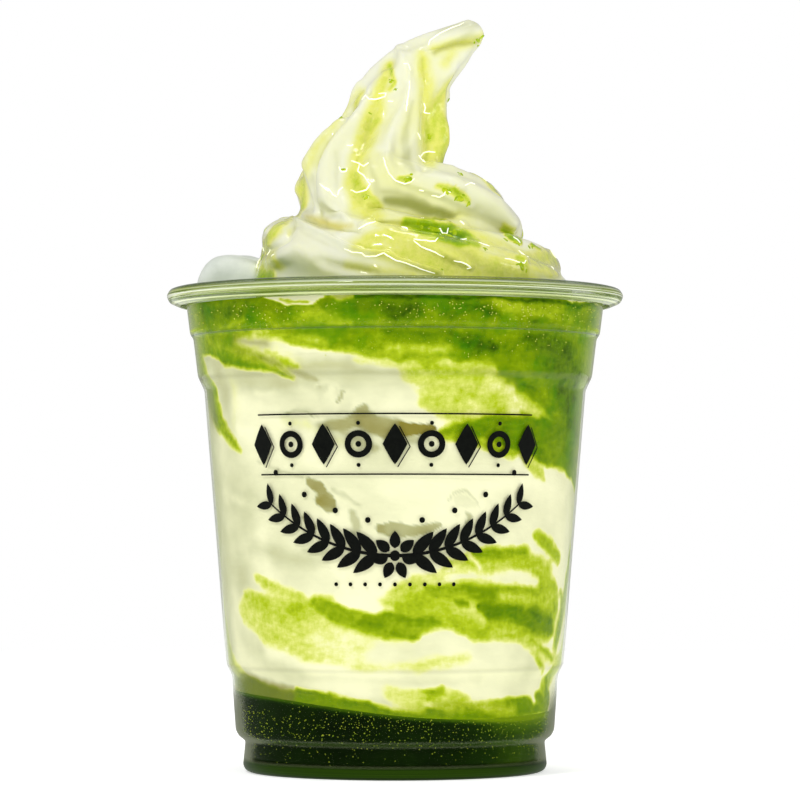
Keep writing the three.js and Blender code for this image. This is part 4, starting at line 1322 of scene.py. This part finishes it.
# Where a line of sight from a side first meets the swirl
def seenAt(ground, side, across, height):
    lean = math.radians(side)
    away = Vector((math.sin(lean), -math.cos(lean), 0))
    right = Vector((math.cos(lean), math.sin(lean), 0))
    start = away * swirl["viewDistance"] + Vector((0, 0, studio["cameraPlace"][2]))
    aim = right * across + Vector((0, 0, height)) - start
    hit, place, normal, _ = ground.ray_cast(start * mm, aim.normalized())
    return (place / mm, normal) if hit else None


def drawLip(curve, places):
    spline = curve.splines.new("POLY")
    spline.points.add(len(places) - 1)
    for i, place in enumerate(places):
        spline.points[i].co = (*(place * mm), 1)
        spline.points[i].radius = 0.35 + 0.65 * math.sin(math.pi * (i + 0.5) / len(places)) ** 0.5


def makeLips(ground):
    rng = random.Random(lips["seed"])
    curve = bpy.data.curves.new("wet_lips", "CURVE")
    curve.dimensions = "3D"
    curve.bevel_depth = lips["radius"] * mm
    curve.bevel_resolution = 2
    curve.use_fill_caps = True
    for path in frontLips:
        line = []
        for (x0, z0), (x1, z1) in zip(path, path[1:]):
            count = max(2, round(math.dist((x0, z0), (x1, z1)) / lips["step"]))
            line += [(x0 + (x1 - x0) * i / count, z0 + (z1 - z0) * i / count) for i in range(count)]
        line.append(path[-1])
        places = []
        for across, height in line:
            off = lips["wander"] * noise.noise(Vector((across, height, 3)))
            found = seenAt(ground, 0, across + off, height + off)
            if found and (not places or (found[0] - places[-1]).length < 2.5):
                places.append(found[0])
        if len(places) > 2:
            drawLip(curve, places)
    wet = [data.value for data in ground.data.attributes["glaze"].data]
    vertices = ground.data.vertices
    made = 0
    while made < lips["short"]:
        pick = rng.randrange(len(wet))
        normal = vertices[pick].normal
        if wet[pick] < 0.3 or normal.y < -0.3:
            continue
        here = vertices[pick].co / mm
        way = normal.cross(Vector([rng.uniform(-1, 1) for _ in range(3)])).normalized()
        places = [here]
        for _ in range(rng.randint(*lips["steps"])):
            way = (way + Vector([rng.uniform(-0.5, 0.5) for _ in range(3)])).normalized()
            _, place, normal, _ = ground.closest_point_on_mesh((here + way * lips["step"]) * mm)
            here = place / mm
            places.append(here)
        drawLip(curve, places)
        made += 1
    piece = bpy.data.objects.new("wet_lips", curve)
    bpy.context.scene.collection.objects.link(piece)
    selectOnly(piece)
    bpy.ops.object.convert(target="MESH")
    piece = named("syrup_lips")
    shadeSmooth(piece)
    paintOver(piece, lipHighlightFinish())
    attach(piece, "root")
    print("lips of syrup made")


bubbles = {
    "seed": 4,
    "bands": [  # how many, angle range, height range, size range
        (80, (-50, 10), (92, 98.8), (0.1, 0.17)),
        (100, (5, 40), (93, 98.8), (0.1, 0.17)),
        (50, (40, 75), (92, 98.8), (0.1, 0.16)),
        (140, (75, 310), (92, 98.8), (0.1, 0.19)),
        (40, (-20, 60), (86, 93), (0.09, 0.14)),
    ],
    "sunk": 0.3,
}
specks = {
    "seed": 9,
    "count": 1900,
    "heights": (2.8, 16),
    "sizes": (0.06, 0.13),
    "sunk": 0.42,
}


def onWall(angle, height, sunk):
    radius = float(wallRadius(height)) - sunk
    lean = math.radians(angle)
    return np.array([radius * math.sin(lean), -radius * math.cos(lean), height])


def bubbleHighlightFinish():
    finish = Finish("bubbles")
    # Painted light: a bubble's middle, facing the eye, is painted pale as a highlight and its rim dark green
    facing = finish.node("ShaderNodeLayerWeight", {}, {"Blend": 0.5}, out="Facing")
    cloud = finish.grain(finish.place(), 2.5, 2) - 0.5
    stops = [(0.1, (244, 246, 120)), (0.35, (190, 208, 10)), (0.6, (56, 92, 0))]
    tint = finish.ramp(facing + cloud * 0.5, stops)
    return finish.done(finish.surface(Base_Color=tint, Roughness=0.1, Specular_IOR_Level=0.25))


def speckFinish():
    finish = Finish("specks")
    cloud = finish.grain(finish.place(), 1.5, 2)
    tint = finish.ramp(cloud, [(0.3, (110, 150, 6)), (0.7, (200, 216, 60))])
    return finish.done(finish.surface(Base_Color=tint, Roughness=0.4, Specular_IOR_Level=0.05))


def makeBubbles():
    rng = random.Random(bubbles["seed"])
    places, sizes = [], []
    for count, angles, heights, reach in bubbles["bands"]:
        for _ in range(count):
            size = rng.uniform(*reach)
            height = rng.triangular(*heights, heights[1] - 1)
            places.append(onWall(rng.uniform(*angles), height, cup["sheet"] - bubbles["sunk"]))
            sizes.append([size] * 3)
    piece = scattered("syrup_bubbles", places, sizes, 2, 0, rng)
    paintOver(piece, bubbleHighlightFinish())
    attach(piece, "root")

    rng = random.Random(specks["seed"])
    places, sizes = [], []
    for _ in range(specks["count"]):
        angle, height = rng.uniform(0, 360), rng.triangular(*specks["heights"], 12)
        size = rng.uniform(*specks["sizes"])
        top = float(borderHeight(filling["darkTop"], np.array([angle]), 1)[0])
        if height > top - 0.3:
            continue
        places.append(onWall(angle, height, specks["sunk"]))
        sizes.append([size * rng.uniform(0.8, 1.2) for _ in range(3)])
    piece = scattered("syrup_specks", places, sizes, 1, 0.12, rng)
    paintOver(piece, speckFinish())
    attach(piece, "root")
    print("bubbles and specks made")


# Bits of pulp stuck to the swirl, by the side they are seen from: across, height and size
pulp = {
    "seed": 21,
    "stuck": {
        0: [
            (8.6, 116.4, 2.1), (11.4, 115.2, 1.9), (5.6, 117.0, 1.3), (13.9, 123.2, 1.3),
            (11.0, 124.9, 1.4), (2.8, 127.5, 1.3), (24.6, 115.2, 1.4), (29.6, 112.9, 1.0),
            (27.4, 108.6, 1.3), (-11.2, 129.4, 0.8), (14.4, 128.4, 0.9), (15.8, 113.8, 0.9),
            (19.4, 112.4, 0.6), (15.9, 122.0, 0.8), (7.4, 136.6, 1.0), (-0.9, 148.4, 0.8),
            (0.1, 146.8, 0.5), (-5.4, 141.6, 0.5), (26.1, 113.8, 0.9), (-6.2, 123.4, 0.9),
        ],
        90: [(-0.6, 159.7, 1.5), (0.4, 145.6, 1.6), (0.0, 143.9, 1.2), (3.0, 118.0, 1.5), (8.0, 116.0, 1.0)],
        180: [(-8.0, 115.0, 1.8), (-11.5, 116.2, 1.2), (8.6, 125.4, 1.3), (14.0, 111.0, 1.0)],
        270: [(0.6, 141.8, 1.5), (6.0, 112.5, 1.4), (-4.5, 123.0, 1.3), (9.5, 118.0, 0.8)],
    },
    "thickness": 0.26,
    "cluster": 4,
    "flecks": 150,
    "fleckSize": (0.16, 0.5),
}


def pulpFinish():
    finish = Finish("pulp")
    cloud = finish.grain(finish.place(), 1.3, 4, 0.65)
    stops = [(0.28, (118, 158, 0)), (0.5, (168, 196, 2)), (0.72, (214, 224, 44))]
    tint = finish.ramp(cloud, stops)
    shine = finish.surface(Base_Color=tint, Roughness=0.1, Specular_IOR_Level=0.25)
    return finish.done(shine)


def makePulp(ground):
    rng = random.Random(pulp["seed"])
    places, sizes, normals = [], [], []

    def stick(place, normal, size):
        flat = size * pulp["thickness"]
        places.append(np.array(place) - np.array(normal) * flat * 0.45)
        sizes.append([size, size * rng.uniform(0.35, 0.7), flat])
        normals.append(normal)

    for side, bits in pulp["stuck"].items():
        for across, height, size in bits:
            for i in range(pulp["cluster"]):
                spread = size * 0.75 * min(i, 1)
                off = [rng.uniform(-1, 1) * spread for _ in range(2)]
                found = seenAt(ground, side, across + off[0], height + off[1])
                if found:
                    share = rng.uniform(0.25, 0.55) if i else 0.8
                    stick(found[0], found[1], size * share)
    wet = [data.value for data in ground.data.attributes["glaze"].data]
    vertices = ground.data.vertices
    while len(places) < pulp["flecks"]:
        pick = rng.randrange(len(wet))
        if wet[pick] > 0.4 + 0.4 * rng.random():
            size = rng.uniform(*pulp["fleckSize"])
            stick(vertices[pick].co / mm, vertices[pick].normal, size)
    piece = scattered("syrup_pulp", places, sizes, 3, 0.05, rng, normals)
    applyModifier(piece, "SMOOTH", factor=0.5, iterations=1)
    paintOver(piece, pulpFinish())
    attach(piece, "root")
    print("pulp made")


def makeIce():
    piece = softCopy("ice", "wet_ice", 0.6, 8)
    spots, normals = spotsOf(piece), normalsOf(piece)
    moveSpots(piece, spots + normals * (0.5 + 0.3 * noiseAt(spots, 7, 2, 11))[:, None])
    finish = Finish("ice")
    cloud = finish.grain(finish.place(), 6, 4)
    tint = finish.ramp(cloud, [(0.3, (214, 221, 210)), (0.7, (238, 243, 234))])
    wet = finish.surface(Base_Color=tint, Roughness=0.4 + cloud * 0.2, Specular_IOR_Level=0.2)
    paintOver(piece, finish.done(wet))
    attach(piece, "root")
    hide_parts("ice")
    print("ice made")


# A garland of leaves and berries under a row of lozenges and rings, on the front of the cup.
# Places are millimetres round the wall from the front, and heights.
printing = {
    "radius": 39.2,
    "lift": 0.03,
    "thickness": 0.05,
    "rule": {"heights": (75.6, 63.2), "reach": 30.5, "half": 0.16},
    "band": {"height": 69.4, "step": 7.4, "count": 9, "tall": 4.2, "wide": 2.5, "ring": 2.2},
    "shadow": {"shift": 0.55, "half": 0.11},
    "garland": {"low": 46.5, "rise": 10.5, "reach": 28, "half": 0.32},
    "leaf": {"length": 6.4, "half": 1.25, "lean": 42, "count": 8},
    "berry": {"radius": 0.6, "back": 1.6, "up": 6.6},
    "blossom": {"petals": 7, "length": 3.6, "half": 1.15, "heart": 1.1},
    "dots": {"height": 42.2, "count": 9, "step": 3.2, "radius": 0.42},
}


# A flat strip along a path, drawn from a grid. half gives its half width at a share of its way.
def strip(path, half, rows=14, columns=4):
    selectOnly()
    bpy.ops.mesh.primitive_grid_add(x_subdivisions=rows, y_subdivisions=columns, size=2)
    piece = bpy.context.object
    flat = spotsOf(piece) * mm
    share, across = (flat[:, 0] + 1) / 2, flat[:, 1]
    spots = np.zeros((len(flat), 3))
    small = 1e-3
    for i, (t, side) in enumerate(zip(share, across)):
        here = np.array(path(t))
        ahead = np.array(path(min(t + small, 1))) - np.array(path(max(t - small, 0)))
        along = ahead / np.linalg.norm(ahead)
        spots[i, :2] = here + np.array((-along[1], along[0])) * side * half(t)
    moveSpots(piece, spots)
    return piece


def straight(start, end):
    return lambda t: (start[0] + (end[0] - start[0]) * t, start[1] + (end[1] - start[1]) * t)


def disc(centre, radius):
    path = straight((centre[0] - radius, centre[1]), (centre[0] + radius, centre[1]))
    return strip(path, lambda t: radius * math.sqrt(max(1 - (2 * t - 1) ** 2, 0)), 12, 4)


def ring(centre, radius, half):
    def path(t):
        return (centre[0] + radius * math.cos(turn * t), centre[1] + radius * math.sin(turn * t))
    return strip(path, lambda t: half, 32, 2)


def leaf(start, angle, length, half):
    lean = math.radians(angle)
    end = (start[0] + length * math.cos(lean), start[1] + length * math.sin(lean))
    return strip(straight(start, end), lambda t: half * math.sin(math.pi * t**0.8) ** 0.8, 10, 4)


def lozenge(centre, wide, tall):
    path = straight((centre[0], centre[1] - tall), (centre[0], centre[1] + tall))
    return strip(path, lambda t: wide * (1 - abs(2 * t - 1)) ** 0.85, 16, 6)


def drawBand():
    made = []
    band, rule, shadow = printing["band"], printing["rule"], printing["shadow"]
    for height in rule["heights"]:
        ends = ((-rule["reach"], height), (rule["reach"], height))
        made.append(strip(straight(*ends), lambda t: rule["half"], 90, 1))
    for i in range(band["count"]):
        across = (i - (band["count"] - 1) / 2) * band["step"]
        centre = (across, band["height"])
        if i % 2:
            made.append(ring(centre, band["ring"], 0.62))
            made.append(disc(centre, 0.6))
            made += [disc((across, centre[1] + off), 0.42) for off in (-4.3, 4.3)]
            continue
        made.append(lozenge(centre, band["wide"], band["tall"]))
        corner = (across + band["wide"] + shadow["shift"], centre[1] - shadow["shift"])
        foot = (across + shadow["shift"], centre[1] - band["tall"] - shadow["shift"])
        head = (across + shadow["shift"] * 1.6, centre[1] + band["tall"] - shadow["shift"])
        made.append(strip(straight(foot, corner), lambda t: shadow["half"], 10, 1))
        made.append(strip(straight(corner, head), lambda t: shadow["half"], 10, 1))
    return made


def drawGarland():
    made = []
    vine, blade, berry = printing["garland"], printing["leaf"], printing["berry"]
    blossom, dots = printing["blossom"], printing["dots"]

    def height(across):
        return vine["low"] + vine["rise"] * (across / vine["reach"]) ** 2

    for hand in (-1, 1):
        path = lambda t: (hand * vine["reach"] * t, height(vine["reach"] * t))
        made.append(strip(path, lambda t: vine["half"] * (1.2 - 0.7 * t), 60, 2))
        for i in range(blade["count"]):
            share = (i + 1.1) / (blade["count"] + 0.1)
            at = (hand * vine["reach"] * share, height(vine["reach"] * share))
            slope = math.degrees(math.atan2(2 * vine["rise"] * share, vine["reach"]))
            size = 1.05 - 0.35 * share
            for side in (-1, 1):
                lean = slope + side * blade["lean"]
                angle = lean if hand > 0 else 180 - lean
                made.append(leaf(at, angle, blade["length"] * size, blade["half"] * size))
            if i % 2:
                spot = (at[0] - hand * berry["back"], at[1] + berry["up"])
                made.append(disc(spot, berry["radius"]))
    heart = (0, vine["low"])
    for i in range(blossom["petals"]):
        angle = 90 + 360 * i / blossom["petals"]
        lean = math.radians(angle)
        start = (heart[0] + 1.5 * math.cos(lean), heart[1] + 1.5 * math.sin(lean))
        made.append(leaf(start, angle, blossom["length"], blossom["half"]))
    made.append(disc(heart, blossom["heart"]))
    for i in range(dots["count"]):
        across = (i - (dots["count"] - 1) / 2) * dots["step"]
        made.append(disc((across, dots["height"] - 1.6), dots["radius"]))
    return made


def makePrint():
    parts = drawBand() + drawGarland()
    selectOnly(parts[0])
    for part in parts:
        part.select_set(True)
    bpy.ops.object.join()
    piece = named("front_print")
    bpy.ops.object.mode_set(mode="EDIT")
    bpy.ops.mesh.select_all(action="SELECT")
    bpy.ops.mesh.remove_doubles(threshold=0.01 * mm)
    bpy.ops.mesh.dissolve_degenerate(threshold=0.01 * mm)
    bpy.ops.mesh.normals_make_consistent(inside=False)
    bpy.ops.object.mode_set(mode="OBJECT")
    applyModifier(piece, "SOLIDIFY", thickness=printing["thickness"] * mm, offset=0)
    spots = spotsOf(piece)
    lean = spots[:, 0] / printing["radius"]
    radius = wallRadius(spots[:, 1]) + printing["lift"] + printing["thickness"] / 2 + spots[:, 2]
    made = np.stack([radius * np.sin(lean), -radius * np.cos(lean), spots[:, 1]], 1)
    moveSpots(piece, made)
    selectOnly(piece)
    bpy.ops.object.mode_set(mode="EDIT")
    bpy.ops.mesh.select_all(action="SELECT")
    bpy.ops.mesh.normals_make_consistent(inside=False)
    bpy.ops.object.mode_set(mode="OBJECT")
    finish = Finish("print")
    cloud = finish.grain(finish.place(), 0.8, 4)
    tint = finish.ramp(cloud, [(0.3, (3, 5, 3)), (0.75, (14, 17, 12))])
    ink = finish.surface(Base_Color=tint, Roughness=0.4 + cloud * 0.2, Specular_IOR_Level=0.06)
    paintOver(piece, finish.done(ink))
    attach(piece, "root")
    print("print made")


makeStage()
makeCup()
makeFilling()
creamSwirl = makeSwirl()
makeLips(creamSwirl)
makePulp(creamSwirl)
makeBubbles()
makeIce()
makePrint()
